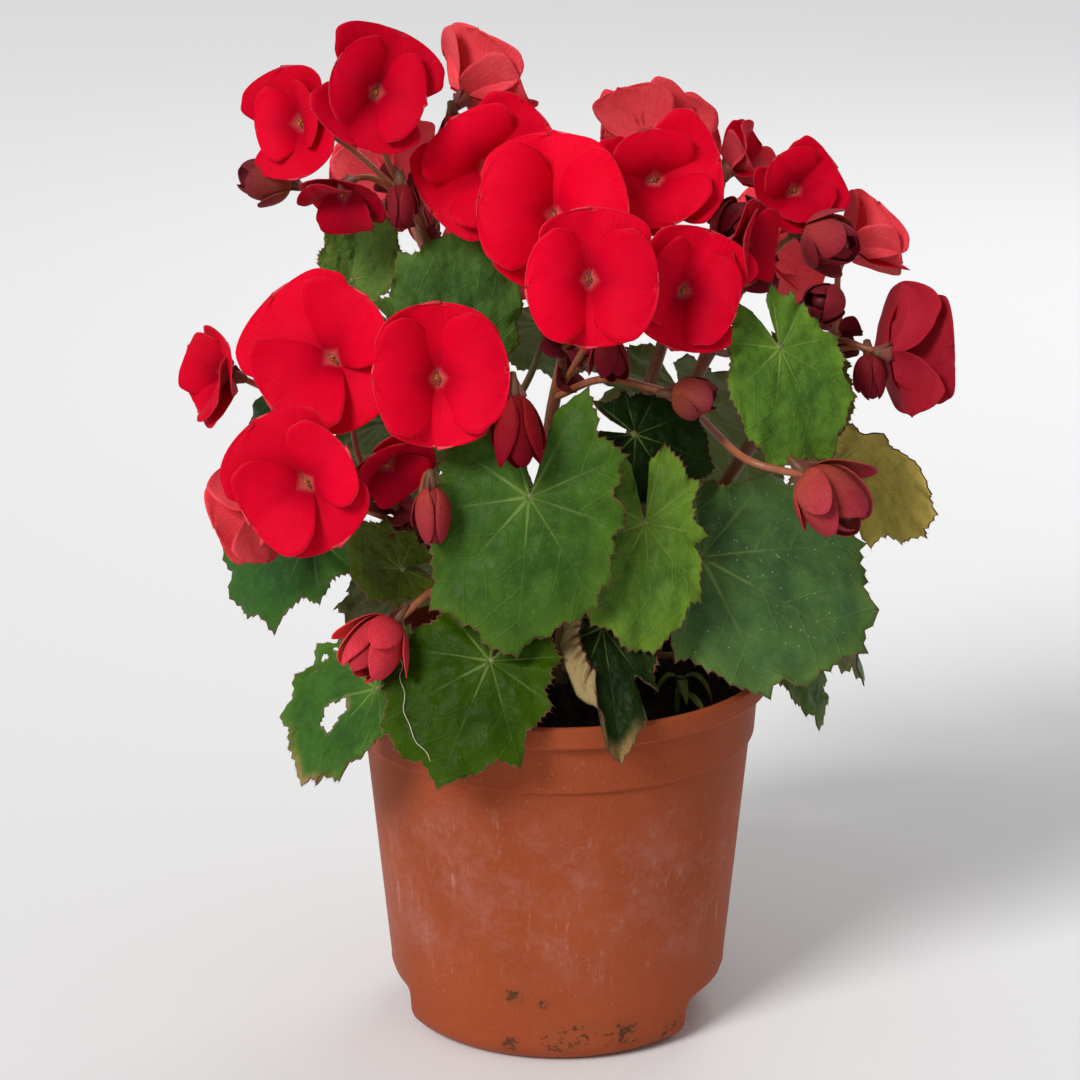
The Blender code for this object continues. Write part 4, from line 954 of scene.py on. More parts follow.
PETAL_ROWS, PETAL_COLUMNS, PETAL_THICKNESS = 26, 21, 0.36
SHELL_ROWS, SHELL_COLUMNS, SHELL_THICKNESS = 18, 15, 0.34
WING_ROWS, WING_COLUMNS, WING_THICKNESS = 9, 6, 0.35
RED = (0.76, 0.0006, 0.020)
ROSE = (0.80, 0.058, 0.078)
BUD_ROSE = (0.38, 0.022, 0.036)
BUD_HEART = (0.14, 0.008, 0.014)
ANTHERS = ((0.55, 0.24, 0.03), (0.40, 0.10, 0.02))
FILAMENT, NECK_TONE = (0.30, 0.12, 0.04), (0.22, 0.05, 0.035)
# at the ovary and at the wing's edge
WING_TONES = (np.array((0.16, 0.07, 0.03)), np.array((0.15, 0.02, 0.022)))


class Form(NamedTuple):
    """A petal's angles off the flower's plane, from root to tip. The rest are shares of its size."""

    rise: tuple
    root: float = 0.45  # its width where it grows from the flower
    widest: float = 0.56
    cup: float = 0.10
    groove: float = 0.03
    ruffle: float = 0.02
    blunt: float = 2.4


def petal(base, out, outward, length, width, form, rng, tone, lean=0.0):
    """A petal that grows along outward from base, with its face towards out."""
    across = np.cross(outward, out)
    u = 0.5 - 0.5 * np.cos(math.pi * np.linspace(0, 1, PETAL_ROWS))
    p = rng.uniform(0, 2 * math.pi, 5)
    # the middle line, then the outline
    angle = np.radians(np.interp(u, (0, 0.2, 0.55, 1), form.rise))
    middle, step = (angle[1:] + angle[:-1]) / 2, length * np.diff(u)
    along = np.concatenate([[0], np.cumsum(step * np.cos(middle))])
    forward = np.concatenate([[0], np.cumsum(step * np.sin(middle))])
    grow = form.root + (1 - form.root) * np.sin(0.5 * math.pi * np.clip(u / form.widest, 0, 1)) ** 0.9
    close = np.sqrt(1 - np.clip((u - form.widest) / (1 - form.widest), 0, 1) ** form.blunt)
    v = np.tile(np.linspace(-1, 1, PETAL_COLUMNS), PETAL_ROWS)
    u, angle, along, forward, outline = (
        np.repeat(x, PETAL_COLUMNS) for x in (u, angle, along, forward, grow * close)
    )
    uneven = 0.035 * np.sin(5 * u + p[0]) + 0.05 * v * np.sin(p[1]) + 0.022 * np.sin(11 * u * v + p[4])
    half = 0.5 * width * outline * (1 + uneven + 0.012 * np.sin(23 * u * np.sign(v) + p[2]))
    x = half * v
    along = along * (1 + 0.03 * u * np.sin(3.6 * v + p[3]))
    # the relief: a ruffled margin, a groove down the middle and edges that stand forward
    normal = np.outer(np.cos(angle), out) - np.outer(np.sin(angle), outward)
    hollow = (
        form.ruffle * length * u**2 * np.abs(v) ** 1.5 * np.sin(5.2 * u * np.sign(v) + p[2])
        + 0.4 * form.ruffle * length * u * np.sin(7 * v * (0.4 + u) + p[3])
        - form.groove * length * np.exp(-((x / (0.11 * width)) ** 2)) * np.sin(math.pi * u) ** 0.5
    )
    forward = forward + form.cup * width * np.abs(2 * x / width) ** 1.8
    points = base + np.outer(along, outward) + np.outer(forward, out)
    points = points + np.outer(x + lean * length * u**2, across) + hollow[:, None] * normal
    edge = np.minimum(half * (1 - np.abs(v)), length * (1 - u))
    flat = np.column_stack([x, length * u, edge])
    return sheet(points, PETAL_ROWS, PETAL_COLUMNS, PETAL_THICKNESS, flat, tone)


def neck(bloom):
    """The end of the bloom's receptacle, and the way in which its stalk arrives there."""
    out = facing_frame(*bloom.facing)[2]
    centre = np.asarray(bloom.centre, float)
    way = unit(0.6 * out + 0.8 * unit(centre - STEMS[bloom.stem].path[-1]))
    straight = 0.4 * RECEPTACLE
    return centre - straight * out - (RECEPTACLE - straight) * way, way


def stamens(centre, axes, rng, count=7, spread=0.9):
    right, up, out = axes
    parts = []
    for k in range(count):
        share, turn = math.sqrt((k + 0.5) / count), 2.4 * k
        height = 1.0 + 1.8 * math.sqrt(1 - share**2) + rng.uniform(-0.3, 0.3)
        place = centre + spread * share * (math.cos(turn) * right + math.sin(turn) * up) + height * out
        parts.append(ball(place, axes, (0.36, 0.36, 0.6), 5, 7, 1, ANTHERS[0 if rng.random() < 0.5 else 1]))
        parts.append(tube([centre + 0.3 * out, place], 0.14, 5, 1, FILAMENT))
    return parts


def wings(base, axes, turn, length, reach):
    """The three wings of the ovary behind a flower: thin fins that end in a corner."""
    right, up, out = axes
    shares = np.meshgrid(np.linspace(0, 1, WING_ROWS), np.linspace(0, 1, WING_COLUMNS), indexing="ij")
    s, t = (grid.ravel() for grid in shares)
    parts = []
    for k, size in enumerate((1.0, 0.8, 0.62)):
        a = turn + k * 2 * math.pi / 3
        side, over = math.cos(a) * right + math.sin(a) * up, math.cos(a) * up - math.sin(a) * right
        fin = t * reach * np.interp(s, (0, 0.35, 0.85, 1), (0.05, 0.35, 1.0, 0.75)) * size
        points = base + np.outer(-length * (1 - s) + 0.25 * fin, out) + np.outer(0.5 + fin, side)
        points = points + np.outer(0.12 * fin * np.sin(3 * s + k), over)
        tone = (1 - t[:, None]) * WING_TONES[0] + t[:, None] * WING_TONES[1]
        flat = np.column_stack([fin, length * s, 2 + 0 * s])
        parts.append(sheet(points, WING_ROWS, WING_COLUMNS, WING_THICKNESS, flat, tone)._replace(finish=1))
    ovary = [base - length * out, base - 0.5 * length * out, base]
    return [*parts, tube(ovary, (1.2, 1.7, 1.9), 12, 1, WING_TONES[0])]


class BloomLook(NamedTuple):
    """How far open a flower is, its petals' lengths and widths as shares of their usual size, and its tone,
    partly painted shade.
    """

    open: bool = False
    outer: tuple = (1.04, 0.97)
    wide: float = 1.5
    inner: float = 1.10
    inner_wide: float = 1.55
    tone: tuple = (1.0, 1.0, 1.0)


# The tones are partly painted shade: they darken flowers that face down or away from the key light, or lie
# under others, such as bloom_right, bloom_left_low, bloom_front_under and bloom_small
BLOOM_LOOKS = {
    "bloom_front": BloomLook(True, tone=(0.88, 1.0, 0.9)),
    "bloom_front_rear": BloomLook(True),
    "bloom_left_top": BloomLook(
        outer=(0.9, 0.84), wide=1.7, inner=0.84, inner_wide=1.5, tone=(0.78, 0.8, 0.85)
    ),
    "bloom_left_outer": BloomLook(
        outer=(0.9, 0.9), wide=1.6, inner=0.80, inner_wide=1.5, tone=(0.85, 0.8, 0.85)
    ),
    "bloom_top_left": BloomLook(outer=(1.04, 1.0), wide=1.55, inner=1.0, tone=(0.9, 0.9, 0.9)),
    "bloom_right": BloomLook(tone=(0.45, 0.2, 0.32)),
    "bloom_left_low": BloomLook(tone=(0.5, 0.5, 0.6)),
    "bloom_front_under": BloomLook(tone=(0.62, 0.6, 0.72)),
    "bloom_front_far": BloomLook(tone=(0.8, 0.8, 0.85)),
    "bloom_small": BloomLook(tone=(0.58, 0.5, 0.6)),
    "bloom_centre_right": BloomLook(outer=(1.04, 1.0), wide=1.6, inner=0.98, tone=(0.86, 0.9, 0.9)),
    "bloom_right_rear": BloomLook(tone=(0.75, 0.7, 0.8)),
    "bloom_right_top": BloomLook(outer=(1.04, 0.92), wide=1.6, inner=0.9, tone=(0.8, 0.8, 0.85)),
    "bloom_top_centre": BloomLook(outer=(1.04, 1.0), wide=1.6, inner=0.95, tone=(0.95, 0.9, 0.95)),
    "bloom_centre_rear": BloomLook(tone=(1.06, 1.0, 1.0)),
}


INNER_SHARE = 0.9  # size of the inner petals against the outer ones


def build_bloom(index, name, bloom, finishes):
    rng = np.random.default_rng(300 + index)
    right, up, out = axes = facing_frame(*bloom.facing)
    centre = np.asarray(bloom.centre, float)
    look = BLOOM_LOOKS.get(name, BloomLook())
    inner_lift = bloom.inner_lift or bloom.lift + 20
    parts = []
    for k, clock in enumerate((0, 180, 90, -90)):
        lift, length = (bloom.lift, bloom.size) if k < 2 else (inner_lift, INNER_SHARE * bloom.size)
        turn = math.radians(bloom.clock + clock + rng.uniform(-7, 7))
        outward = math.cos(turn) * up + math.sin(turn) * right
        tone = (1 + 0.07 * rng.standard_normal()) * np.array(look.tone)
        lean = rng.uniform(-0.06, 0.06)
        length = length * rng.uniform(0.97, 1.05)
        if k < 2:
            form = Form((lift + 30, lift + 6, lift - 6, lift - 24), 0.5, 0.55, 0.10, 0.045)
            length *= look.outer[k]
            base, width = centre - 1.2 * out, look.wide * length
        elif look.open:
            form = Form((60, lift + 4, lift - 14, lift - 30), 0.26, 0.6, 0.13, 0.03)
            base, width = centre + 0.4 * out + 0.02 * length * outward, 1.42 * length
        else:
            form = Form((50, lift + 14, lift - 14, lift - 48), 0.5, 0.52, 0.08, 0.0)
            length *= look.inner
            base, width = centre + 0.3 * out + 0.03 * length * outward, look.inner_wide * length
        parts.append(petal(base, out, outward, length, width, form, rng, tone, lean))
    parts += stamens(centre - 0.8 * out, axes, rng)
    end, way = neck(bloom)
    path = bezier(end, end + 1.5 * way, centre - 2.5 * out, centre - 0.2 * out, 8)
    parts.append(tube(path, np.linspace(1.4, 3.4, 8), 14, 1, NECK_TONE))
    parts += wings(centre - 1.2 * out, axes, rng.uniform(0, 2), RECEPTACLE - 1.5, 0.17 * bloom.size + 1.5)
    piece(f"{name}_fine", name, parts, finishes)


def shell(base, axes, clock, length, radius, spread, reach, tilt, rng, tones):
    """A petal wrapped round a bud.

    It goes spread degrees to each side and up this reach of the bud's height, tipped outwards by tilt.
    """
    right, up, out = axes
    turn = math.radians(clock)
    side, over = math.cos(turn) * up + math.sin(turn) * right, math.cos(turn) * right - math.sin(turn) * up
    s = np.repeat(0.5 - 0.5 * np.cos(math.pi * np.linspace(0, 1, SHELL_ROWS)), SHELL_COLUMNS)
    v = np.tile(np.linspace(-1, 1, SHELL_COLUMNS), SHELL_ROWS)
    p = rng.uniform(0, 2 * math.pi, 2)
    polar = math.pi * reach * (0.03 + 0.97 * s)
    width = np.radians(spread) * (0.55 + 0.45 * np.sin(0.5 * math.pi * np.clip(s / 0.5, 0, 1)))
    width = width * np.sqrt(1 - np.clip((s - 0.5) / 0.5, 0, 1) ** 2.2)
    around = v * width * (1 + 0.05 * np.sin(5 * s + p[0]))
    rise = length * (1 - np.cos(polar)) / 2
    reach_out = radius * np.sin(polar) ** 0.85 * (1.12 - 0.24 * rise / length)
    reach_out = reach_out * (1 + 0.05 * np.abs(v) ** 3 + 0.02 * np.sin(4 * s + p[1]))
    a, b = reach_out * np.cos(around), reach_out * np.sin(around)
    lean = math.radians(tilt) * np.clip(rise / length, 0, 1) ** 0.6
    a, rise = a * np.cos(lean) + rise * np.sin(lean), rise * np.cos(lean) - a * np.sin(lean)
    points = base + np.outer(a, side) + np.outer(b, over) + np.outer(rise, out)
    edge = np.minimum(radius * width * (1 - np.abs(v)), length * reach * (1 - s))
    tone = (1 - s[:, None]) * tones[0] + s[:, None] * tones[1]
    flat = np.column_stack([b, length * s, edge])
    return sheet(points, SHELL_ROWS, SHELL_COLUMNS, SHELL_THICKNESS, flat, tone)


# What the buds' own colour is multiplied by, at the base and at the tip.
CORAL, PLAIN, WINE, BROWN, SCARLET, BRIGHT_CORAL = (
    ((0.95, 2.2, 0.6), (1.0, 1.3, 1.4)),
    ((0.9, 1.5, 0.7), (0.7, 0.7, 0.9)),
    ((0.75, 0.8, 0.6), (0.5, 0.32, 0.5)),
    ((0.9, 2.8, 0.8), (0.5, 0.9, 0.9)),
    ((0.7, 0.5, 0.35), (0.5, 0.06, 0.3)),
    ((1.1, 1.6, 0.9), (2.0, 1.5, 1.7)),
)
BUD_TONES = (
    BROWN, WINE, WINE, PLAIN, SCARLET, WINE, BROWN, PLAIN, PLAIN, CORAL, PLAIN, WINE, BRIGHT_CORAL, WINE, PLAIN
)
LARGE_BUD = 15.0  # a bud wider than this has three rings of petals


class Ring(NamedTuple):
    """A pair of a bud's petals. All but spread and reach are shares of the bud's own."""

    length: float
    radius: float
    spread: float
    reach: float
    tilt: float
    tone: float


def bud_parts(index, bud):
    """Overlapping petals wrapped round a bud, opening where it has begun to, over a winged ovary."""
    rng = np.random.default_rng(500 + index)
    axes = facing_frame(*bud.facing)
    out = axes[2]
    base = np.asarray(bud.base, float)
    first = 20 * rng.standard_normal() + 90
    tones = np.array(BUD_TONES[index])
    radius = 0.5 * bud.width
    large = bud.width > LARGE_BUD
    heart = (0.72 * radius, 0.72 * radius, 0.38 * bud.length)
    parts = [ball(base + 0.42 * bud.length * out, axes, heart, 10, 14, 1, BUD_HEART)]
    # each pair of petals is inside the last and turned round from it
    rings = [
        Ring(1.0, 1.0, 66 if large else 84, 0.82 + 0.08 * (1 - bud.opening), 20, 1.0),
        Ring(0.97, 0.88, 72, 0.92, 9, 0.80),
        Ring(0.93, 0.76, 66, 0.95, 3, 0.68),
    ][: 3 if large else 2]
    for k, ring in enumerate(rings):
        for opposite in (0, 180):
            parts.append(
                shell(
                    base, axes, first + opposite + 180 * k / len(rings) + 8 * rng.standard_normal(),
                    bud.length * ring.length, radius * ring.radius, ring.spread, ring.reach,
                    ring.tilt * bud.opening, rng, tones * ring.tone * rng.uniform(0.85, 1.1),
                )
            )
    for k in range(4 if large else 2):
        # loose outer petals that have begun to fall open
        parts.append(
            shell(
                base, axes, first + 45 + 90 * k + 12 * rng.standard_normal(),
                bud.length * rng.uniform(0.9, 1.08), 1.04 * radius, 42,
                rng.uniform(0.62, 0.78), 10 + 24 * bud.opening * rng.uniform(0.6, 1.4),
                rng, tones * rng.uniform(0.75, 1.3),
            )
        )
    parts += wings(base + 0.6 * out, axes, rng.uniform(0, 2), 0.28 * bud.length + 1.0, 0.32 * bud.width)
    return parts


# ---------------------------------------------------------------- stems

STALK_TONE, STALK_HAIR_TONE, STEM_HAIR_TONE = (0.36, 0.11, 0.045), (0.36, 0.17, 0.11), (0.34, 0.19, 0.12)
STEM_TONES = np.array(((0.075, 0.085, 0.02), (0.10, 0.075, 0.02), (0.20, 0.070, 0.022), (0.26, 0.075, 0.028)))
STEM_TONES_AT = (0, 0.35, 0.75, 1)  # shares of the way up
BRACT_TONE = np.array((0.40, 0.5, 0.5))  # times the colour of the buds
BRACT_FORM = Form((62, 40, 14, -24), 0.3, 0.55, 0.16, 0.05)


def stalk_path(start, start_way, end, end_way, count):
    length = np.linalg.norm(end - start)
    return bezier(start, start + 0.35 * length * start_way, end - 0.4 * length * end_way, end, count)


def build_stem(index, name, stem, finishes):
    """The stem, the stalks that leave its head, their buds, and bracts at every second fork."""
    rng = np.random.default_rng(700 + index)
    path = smooth_path(stem.path, 9)
    share = np.linspace(0, 1, len(path))
    radii = stem.radius + (stem.head_radius - stem.radius) * share
    for leaf in LEAVES.values():
        if leaf.stem == name:
            radii = radii + 0.7 * np.exp(-(((path[:, 2] - leaf.height) / 3.5) ** 2))
    tones = np.column_stack([np.interp(share, STEM_TONES_AT, channel) for channel in STEM_TONES.T])
    parts = [tube(path, radii, 20, 2, tones), hairs_on(path, radii, rng, 1.6, 1.4, 2, STEM_HAIR_TONE)]
    way = unit(path[-1] - path[-10])
    tips = [neck(bloom) for bloom in BLOOMS.values() if bloom.stem == name]
    ends = [(end + 0.3 * arrive, arrive) for end, arrive in tips]
    for k, bud in enumerate(BUDS):
        if bud.stem != name:
            continue
        out = facing_frame(*bud.facing)[2]
        end = np.asarray(bud.base) + 1.5 * out
        if bud.route:
            route = smooth_path([*bud.route, end], 8)
            parts.append(tube(route, 1.2 * PEDICEL_RADIUS, 12, 2, STALK_TONE))
            parts.append(hairs_on(route, 1.3, rng, 1.5, 1.2, 2, STALK_HAIR_TONE))
        else:
            ends.append((end, out))
        parts += bud_parts(k, bud)
    for k, (end, arrive) in enumerate(ends):
        fork = at_height(path, path[-1, 2] - 1 - FORK_STEP * k)[0]
        leave = unit(way + 1.2 * unit((end - fork) * (1, 1, 0)))
        route = stalk_path(fork, leave, end, arrive, 14)
        parts.append(tube(route, PEDICEL_RADIUS, 12, 2, STALK_TONE))
        parts.append(hairs_on(route, PEDICEL_RADIUS, rng, 1.4, 1.0, 2, STALK_HAIR_TONE))
        if k % 2:
            continue
        over = unit(np.cross(leave, (0, 0, 1)))
        for side in (-over, over):
            length = rng.uniform(10.0, 15.0)
            tone = BRACT_TONE * rng.uniform(0.7, 1.3)
            parts.append(petal(fork, leave, side, length, 0.8 * length, BRACT_FORM, rng, tone))
    piece(f"stem_{name}_fine", f"stem_{name}", parts, finishes)


SEEDLING_ROWS, SEEDLING_COLUMNS = 16, 7


def build_seedling(finishes):
    parts = [tube(smooth_path(SEEDLING_STEM, 6), SEEDLING_RADIUS, 10, 1, (0.10, 0.14, 0.03))]
    shares = np.linspace(0, 1, SEEDLING_ROWS), np.linspace(-1, 1, SEEDLING_COLUMNS)
    s, v = np.meshgrid(*shares, indexing="ij")
    half = np.interp(s, (0, 0.15, 0.4, 0.75, 1), (0.4, 1.2, 1.8, 1.2, 0.1))
    flat = np.column_stack([s.ravel() * 0.3 + 0.2, v.ravel() * 0.04, np.full(s.size, 2.0)])
    for points in SEEDLING_LEAVES:
        path = bezier(*np.array(points, float), SEEDLING_ROWS)
        across = unit(np.cross(unit(path[-1] - path[0]), (0, 0, 1)))
        normal = np.cross(across, np.gradient(path, axis=0))
        normal /= np.linalg.norm(normal, axis=1)[:, None]
        grid = path[:, None] + (half * v)[..., None] * across
        grid = grid + (0.35 * half * v**2)[..., None] * normal[:, None]  # its edges stand up
        grid = grid.reshape(-1, 3)
        parts.append(sheet(grid, SEEDLING_ROWS, SEEDLING_COLUMNS, 0.35, flat, (0.10, 0.15, 0.03)))
    piece("seedling_fine", "seedling", parts, finishes)


# ---------------------------------------------------------------- pot and soil

POT_STEPS = 180
COLLAR_FOOT = POT_HEIGHT - COLLAR_DEPTH
BODY_TOP = COLLAR_FOOT - SHOULDER
RIDGE_HEIGHT, RIDGE_RISE = 19.0, 0.25  # a faint raised line round the body
LIP_FOOT = POT_HEIGHT - LIP_DEPTH
LIP_CORNER = 0.4


def wall_radius(z):
    widening = BODY_TOP_RADIUS - BODY_FOOT_RADIUS
    taper = BODY_FOOT_RADIUS + widening * (z - FOOT_CORNER) / (BODY_TOP - FOOT_CORNER)
    drop = np.clip(1 - z / FOOT_CORNER, 0, 1)
    return float(np.where(z < FOOT_CORNER, BODY_FOOT_RADIUS - FOOT_CORNER * (1 - np.sqrt(1 - drop**2)), taper))


def press_recesses(points):
    """Pushes the wall inwards at the two drainage recesses."""
    radius = np.hypot(points[:, 0], points[:, 1])
    azimuth = np.degrees(np.arctan2(points[:, 1], points[:, 0]))
    share = np.zeros(len(points))
    for angle in RECESS_ANGLES:
        off = np.abs((azimuth - angle + 180) % 360 - 180) / RECESS_HALF_WIDTH
        share = np.maximum(share, np.clip(1.6 * (1 - off**2), 0, 1))
    low = np.clip((RECESS_HEIGHT - points[:, 2]) / (0.5 * RECESS_HEIGHT), 0, 1)
    outer = np.clip((radius - 30) / 15, 0, 1)
    factor = 1 - RECESS_DEPTH * share * low * low * (3 - 2 * low) * outer / np.maximum(radius, 1)
    return points * np.stack([factor, factor, np.ones_like(factor)], 1)


def rounded(profile, corner_mm):
    """The same profile with each corner replaced by a short curve."""
    profile = [np.asarray(p, float) for p in profile]
    made = [profile[0]]
    for before, here, after in zip(profile, profile[1:], profile[2:]):
        a, b = before - here, after - here
        cut = min(corner_mm, 0.45 * np.linalg.norm(a), 0.45 * np.linalg.norm(b))
        a, b = here + cut * unit(a), here + cut * unit(b)
        made += [(1 - t) ** 2 * a + 2 * t * (1 - t) * here + t**2 * b for t in (0.0, 0.25, 0.5, 0.75, 1.0)]
    return [*made, profile[-1]]


def turned(profile, steps):
    """A profile of (radius, height) turned about the axis, as points and faces."""
    points, faces, rings = [], [], []
    turns = np.arange(steps) * 2 * math.pi / steps
    for radius, z in profile:
        ring = [(radius * math.cos(t), radius * math.sin(t), z) for t in (turns if radius > 1e-6 else [0.0])]
        rings.append(range(len(points), len(points) + len(ring)))
        points += ring
    for a, b in zip(rings, rings[1:]):
        for k in range(steps):
            n = (k + 1) % steps
            if len(a) == 1:
                faces.append((a[0], b[n], b[k]))
            elif len(b) == 1:
                faces.append((a[k], a[n], b[0]))
            else:
                faces.append((a[k], a[n], b[n], b[k]))
    return np.array(points), faces


def pot_profile():
    """(radius, height) from the middle of the underside, over the lip, to the middle of the floor."""
    foot = [(wall_radius(z), z) for z in np.arange(0.0, FOOT_CORNER, 1.0)]
    wall = [
        (wall_radius(z) + RIDGE_RISE * math.exp(-(((z - RIDGE_HEIGHT) / 0.8) ** 2)), z)
        for z in np.linspace(FOOT_CORNER, BODY_TOP, 40)
    ]
    top = rounded([
        wall[-1],
        (BODY_TOP_RADIUS + 0.2, COLLAR_FOOT - 0.9),
        (COLLAR_RADIUS - COLLAR_STEP - 0.3, COLLAR_FOOT - 0.5),
        (COLLAR_RADIUS - COLLAR_STEP, COLLAR_FOOT + 0.3),
        (COLLAR_RADIUS, LIP_FOOT - 0.8),
        (LIP_RADIUS - 1.0, LIP_FOOT - 0.3),
        (LIP_RADIUS - 0.5, LIP_FOOT + 0.4),
        (LIP_RADIUS, POT_HEIGHT - 0.9),
        (LIP_RADIUS - 0.9, POT_HEIGHT),
        (LIP_RADIUS - 2.2, POT_HEIGHT - 0.1),
        (COLLAR_RADIUS - WALL, LIP_FOOT - 2),
        (COLLAR_RADIUS - COLLAR_STEP - WALL, COLLAR_FOOT + 1),
        (BODY_TOP_RADIUS - WALL, BODY_TOP),
    ], LIP_CORNER)
    inside = [(wall_radius(z) - WALL, z) for z in np.linspace(BODY_TOP - 3, FLOOR_CORNER, 24)]
    return [(0, 0), (FLOOR_RING, 0), *foot, *wall, *top[1:], *inside, (FLOOR_RING, FLOOR), (0, FLOOR)]


def build_pot():
    points, faces = turned(pot_profile(), POT_STEPS)
    pot = piece("pot_fine", "pot", [part(press_recesses(points), faces)], [pot_finish()])
    drills = bpy.data.collections.new("drills")
    bpy.context.scene.collection.children.link(drills)
    for k in range(DRAIN_HOLES):
        turn = math.radians(90 + 360 * k / DRAIN_HOLES)
        x, y = DRAIN_CIRCLE * math.cos(turn), DRAIN_CIRCLE * math.sin(turn)
        drill = tube([(x, y, -3), (x, y, FLOOR + 3)], DRAIN_RADIUS, 32, 0, 1.0)
        mesh = bpy.data.meshes.new("drill")
        mesh.from_pydata((drill.points * MM).tolist(), [], drill.faces)
        drills.objects.link(bpy.data.objects.new("drill", mesh))
    cut = pot.modifiers.new("drain_holes", "BOOLEAN")
    cut.operation, cut.operand_type, cut.collection, cut.solver = "DIFFERENCE", "COLLECTION", drills, "EXACT"
    finished = bpy.data.meshes.new_from_object(pot.evaluated_get(bpy.context.evaluated_depsgraph_get()))
    pot.modifiers.clear()
    pot.data = finished
    for drill in list(drills.objects):
        bpy.data.objects.remove(drill)
    bpy.data.collections.remove(drills)
    finished.shade_smooth()
    finished.set_sharp_from_angle(angle=math.radians(40))


SOIL_RINGS, SOIL_STEPS, SOIL_WAVES = 84, 260, 40
SOIL_WALL_ROWS = 72  # dense enough to follow the wall into the recesses
SOIL_RADIUS = COLLAR_RADIUS - COLLAR_STEP - WALL - 2 * GAP
CRUMBS, FIBRES = 520, 70


def soil_height(x, y, waves):
    """Height of the soil's surface: the mound, the part's lumps and finer waves."""
    height = SOIL_TOP + 0.5 + SOIL_MOUND * (1 - (np.hypot(x, y) / 66) ** 2)
    height += LUMP * (np.sin(0.21 * x + 1.3) * np.cos(0.17 * y) + 0.6 * np.sin(0.43 * x - 0.37 * y))
    for fx, fy, phase, size in waves:
        height = height + size * np.sin(fx * x + fy * y + phase)
    return height


def on_soil(rng, waves, margin):
    """A random place on the soil, as its turn round the axis and its point."""
    turn, r = rng.uniform(0, 2 * math.pi), (SOIL_RADIUS - margin) * math.sqrt(rng.random())
    x, y = r * math.cos(turn), r * math.sin(turn)
    return turn, np.array((x, y, soil_height(x, y, waves)))


def build_soil(finish):
    rng = np.random.default_rng(900)
    waves = []
    for k in range(SOIL_WAVES):
        turn, pitch = rng.uniform(0, 2 * math.pi), 0.5 * 1.09**k
        waves.append((pitch * math.cos(turn), pitch * math.sin(turn), rng.uniform(0, 6.3), 0.34 / pitch**0.55))
    # an upper surface of rings, over the side wall and floor just inside the pot
    turns = np.arange(SOIL_STEPS) * 2 * math.pi / SOIL_STEPS
    r, t = np.meshgrid(SOIL_RADIUS * np.linspace(1, 0.004, SOIL_RINGS), turns, indexing="ij")
    x, y = r * np.cos(t), r * np.sin(t)
    settle = np.clip((SOIL_RADIUS - r) / 5, 0, 1)
    z = SOIL_TOP + (soil_height(x, y, waves) - SOIL_TOP) * settle + rng.normal(0, 0.22, r.shape) * (settle > 0)
    heights = np.linspace(FLOOR_CORNER + GAP, BODY_TOP, SOIL_WALL_ROWS)
    # above the recesses the wall is a straight cone, which needs no rows between its ends
    heights = [*heights[: np.searchsorted(heights, RECESS_HEIGHT) + 1], BODY_TOP]
    wall = [(FLOOR_RING, FLOOR + GAP), *((wall_radius(h) - WALL - 2 * GAP, h) for h in heights)]
    wall.append((SOIL_RADIUS, SOIL_TOP - 1))
    lower = [(radius * math.cos(turn), radius * math.sin(turn), h) for radius, h in wall for turn in turns]
    surface = np.stack([x, y, z], -1).reshape(-1, 3)
    points = np.concatenate([press_recesses(np.array(lower)), surface, [[0, 0, FLOOR + GAP]]])
    rows = len(wall) + SOIL_RINGS
    faces = grid_faces(rows, SOIL_STEPS, closed=True).tolist()
    faces += [(len(points) - 1, (k + 1) % SOIL_STEPS, k) for k in range(SOIL_STEPS)]
    faces.append(range((rows - 1) * SOIL_STEPS, rows * SOIL_STEPS))
    parts = [part(points, faces)]
    for _ in range(CRUMBS):
        _, place = on_soil(rng, waves, 3)
        size = rng.uniform(0.5, 1.7)
        axes = np.linalg.qr(rng.standard_normal((3, 3)))[0]
        crumb = ball(place + (0, 0, 0.3 * size), axes, size * rng.uniform(0.6, 1.2, 3), 5, 7, 0, 1.0)
        parts.append(crumb._replace(points=crumb.points + rng.normal(0, 0.12 * size, crumb.points.shape)))
    for _ in range(FIBRES):
        turn, place = on_soil(rng, waves, 8)
        centre = place + (0, 0, 0.5)
        way = np.array((math.cos(7 * turn), math.sin(7 * turn), 0.25 * math.sin(3 * turn)))
        half = rng.uniform(1.5, 4.0) * way
        parts.append(tube([centre - half, centre + (0, 0, 0.3), centre + half], 0.22, 5, 0, 1.0))
    piece("soil_fine", "soil", parts, [finish])


# ---------------------------------------------------------------- stage

CAMERA_PLACE = (0.0, -1.2011, 0.5411)
CAMERA_PITCH = 17.06  # degrees below the horizon
CAMERA_LENS = 120.53
CAMERA_SHIFT = -0.0162
FLOOR_REACH = 6.0  # metres from the middle to each edge of the stage's floor


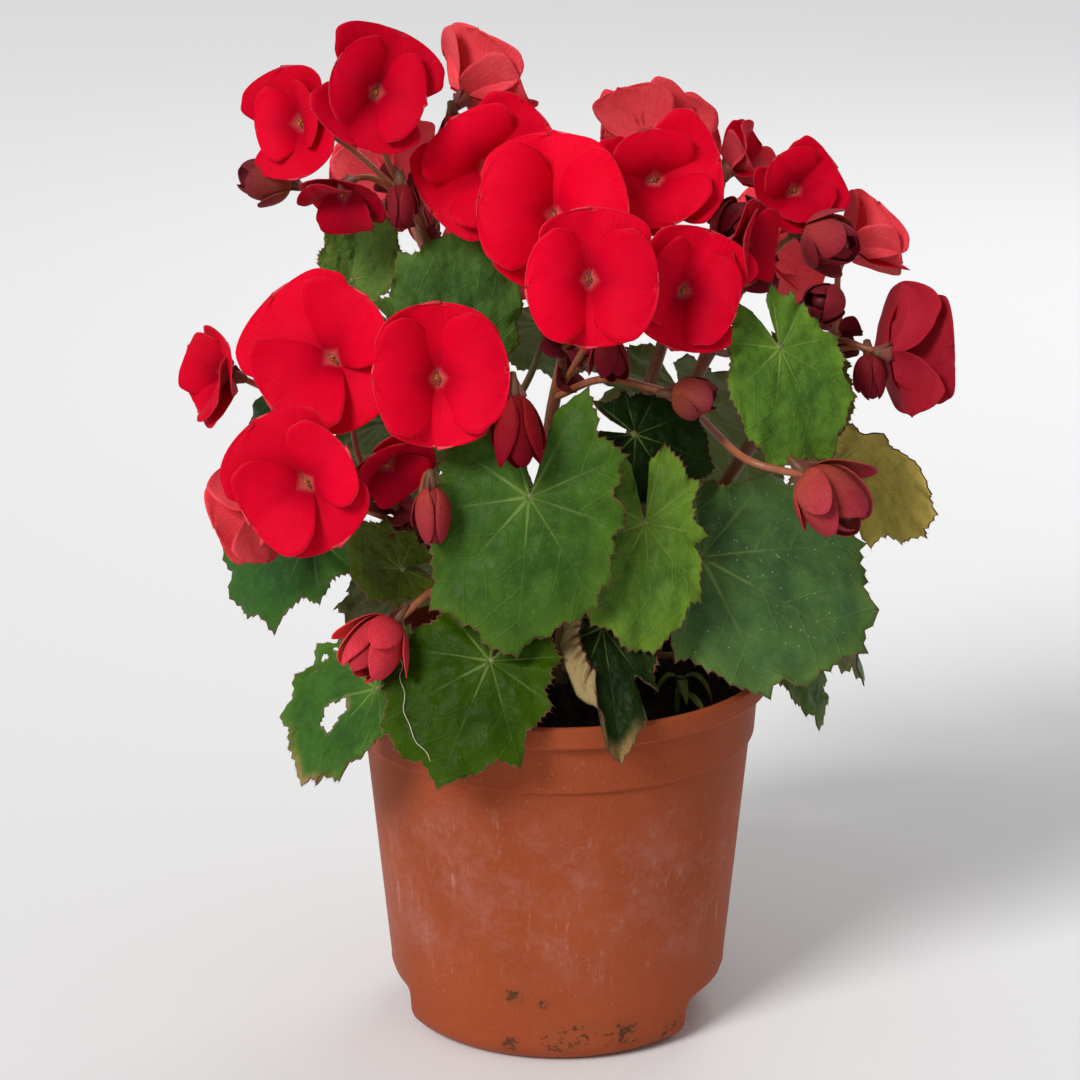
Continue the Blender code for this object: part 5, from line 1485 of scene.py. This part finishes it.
def add_light(name, kind, way, energy, **settings):
    """A light that shines from this direction, as seen from the object."""
    light = bpy.data.lights.new(name, kind)
    light.energy = energy
    for setting, value in settings.items():
        setattr(light, setting, value)
    made = bpy.data.objects.new(name, light)
    made.location = Vector(way) + Vector((0, 0, 0.2))
    made.rotation_mode = "QUATERNION"
    made.rotation_quaternion = Vector(way).to_track_quat("Z", "Y")
    bpy.context.scene.collection.objects.link(made)


def build_stage():
    scene = bpy.context.scene
    camera = bpy.data.objects.new("camera", bpy.data.cameras.new("camera"))
    camera.data.lens, camera.data.shift_x = CAMERA_LENS, CAMERA_SHIFT
    camera.location = CAMERA_PLACE
    camera.rotation_euler = (math.radians(90 - CAMERA_PITCH), 0, 0)
    scene.collection.objects.link(camera)
    scene.camera = camera
    mesh = bpy.data.meshes.new("floor")
    corners = [(x * FLOOR_REACH, y * FLOOR_REACH, 0) for x, y in ((-1, -1), (1, -1), (1, 1), (-1, 1))]
    mesh.from_pydata(corners, [], [(0, 1, 2, 3)])
    floor = bpy.data.objects.new("floor", mesh)
    mesh.materials.append(Shader("floor", Specular_IOR_Level=0.2).finish((0.86, 0.86, 0.86), 0.7))
    scene.collection.objects.link(floor)
    world = bpy.data.worlds.new("studio")
    world.use_nodes = True
    world.node_tree.nodes["Background"].inputs["Color"].default_value = (1, 1, 1, 1)
    world.node_tree.nodes["Background"].inputs["Strength"].default_value = 0.38
    scene.world = world
    scene.view_settings.view_transform = "Standard"
    add_light("key", "SUN", (-0.6, -0.75, 0.72), 2.4, angle=math.radians(22))
    add_light("back", "AREA", (0.5, 1.3, 1.0), 6, shape="DISK", size=0.9)


def main():
    leaf = leaf_finish()
    petals = petal_finish("petals", RED, ROSE, 0.2)
    bud_skin = petal_finish("bud_petals", BUD_ROSE, BUD_ROSE, 0.12)
    skin = plain_finish("stem_skin", 0.42, 0.5)
    centre = plain_finish("flower_centre", 0.5, 0.4)
    build_stage()
    build_pot()
    build_soil(soil_finish())
    for index, (name, stem) in enumerate(STEMS.items()):
        build_stem(index, name, stem, [bud_skin, centre, skin])
    for index, (name, one) in enumerate(LEAVES.items()):
        build_leaf(index, name, one, [leaf, skin])
    for index, (name, bloom) in enumerate(BLOOMS.items()):
        build_bloom(index, name, bloom, [petals, centre])
    build_seedling([leaf, skin])


main()
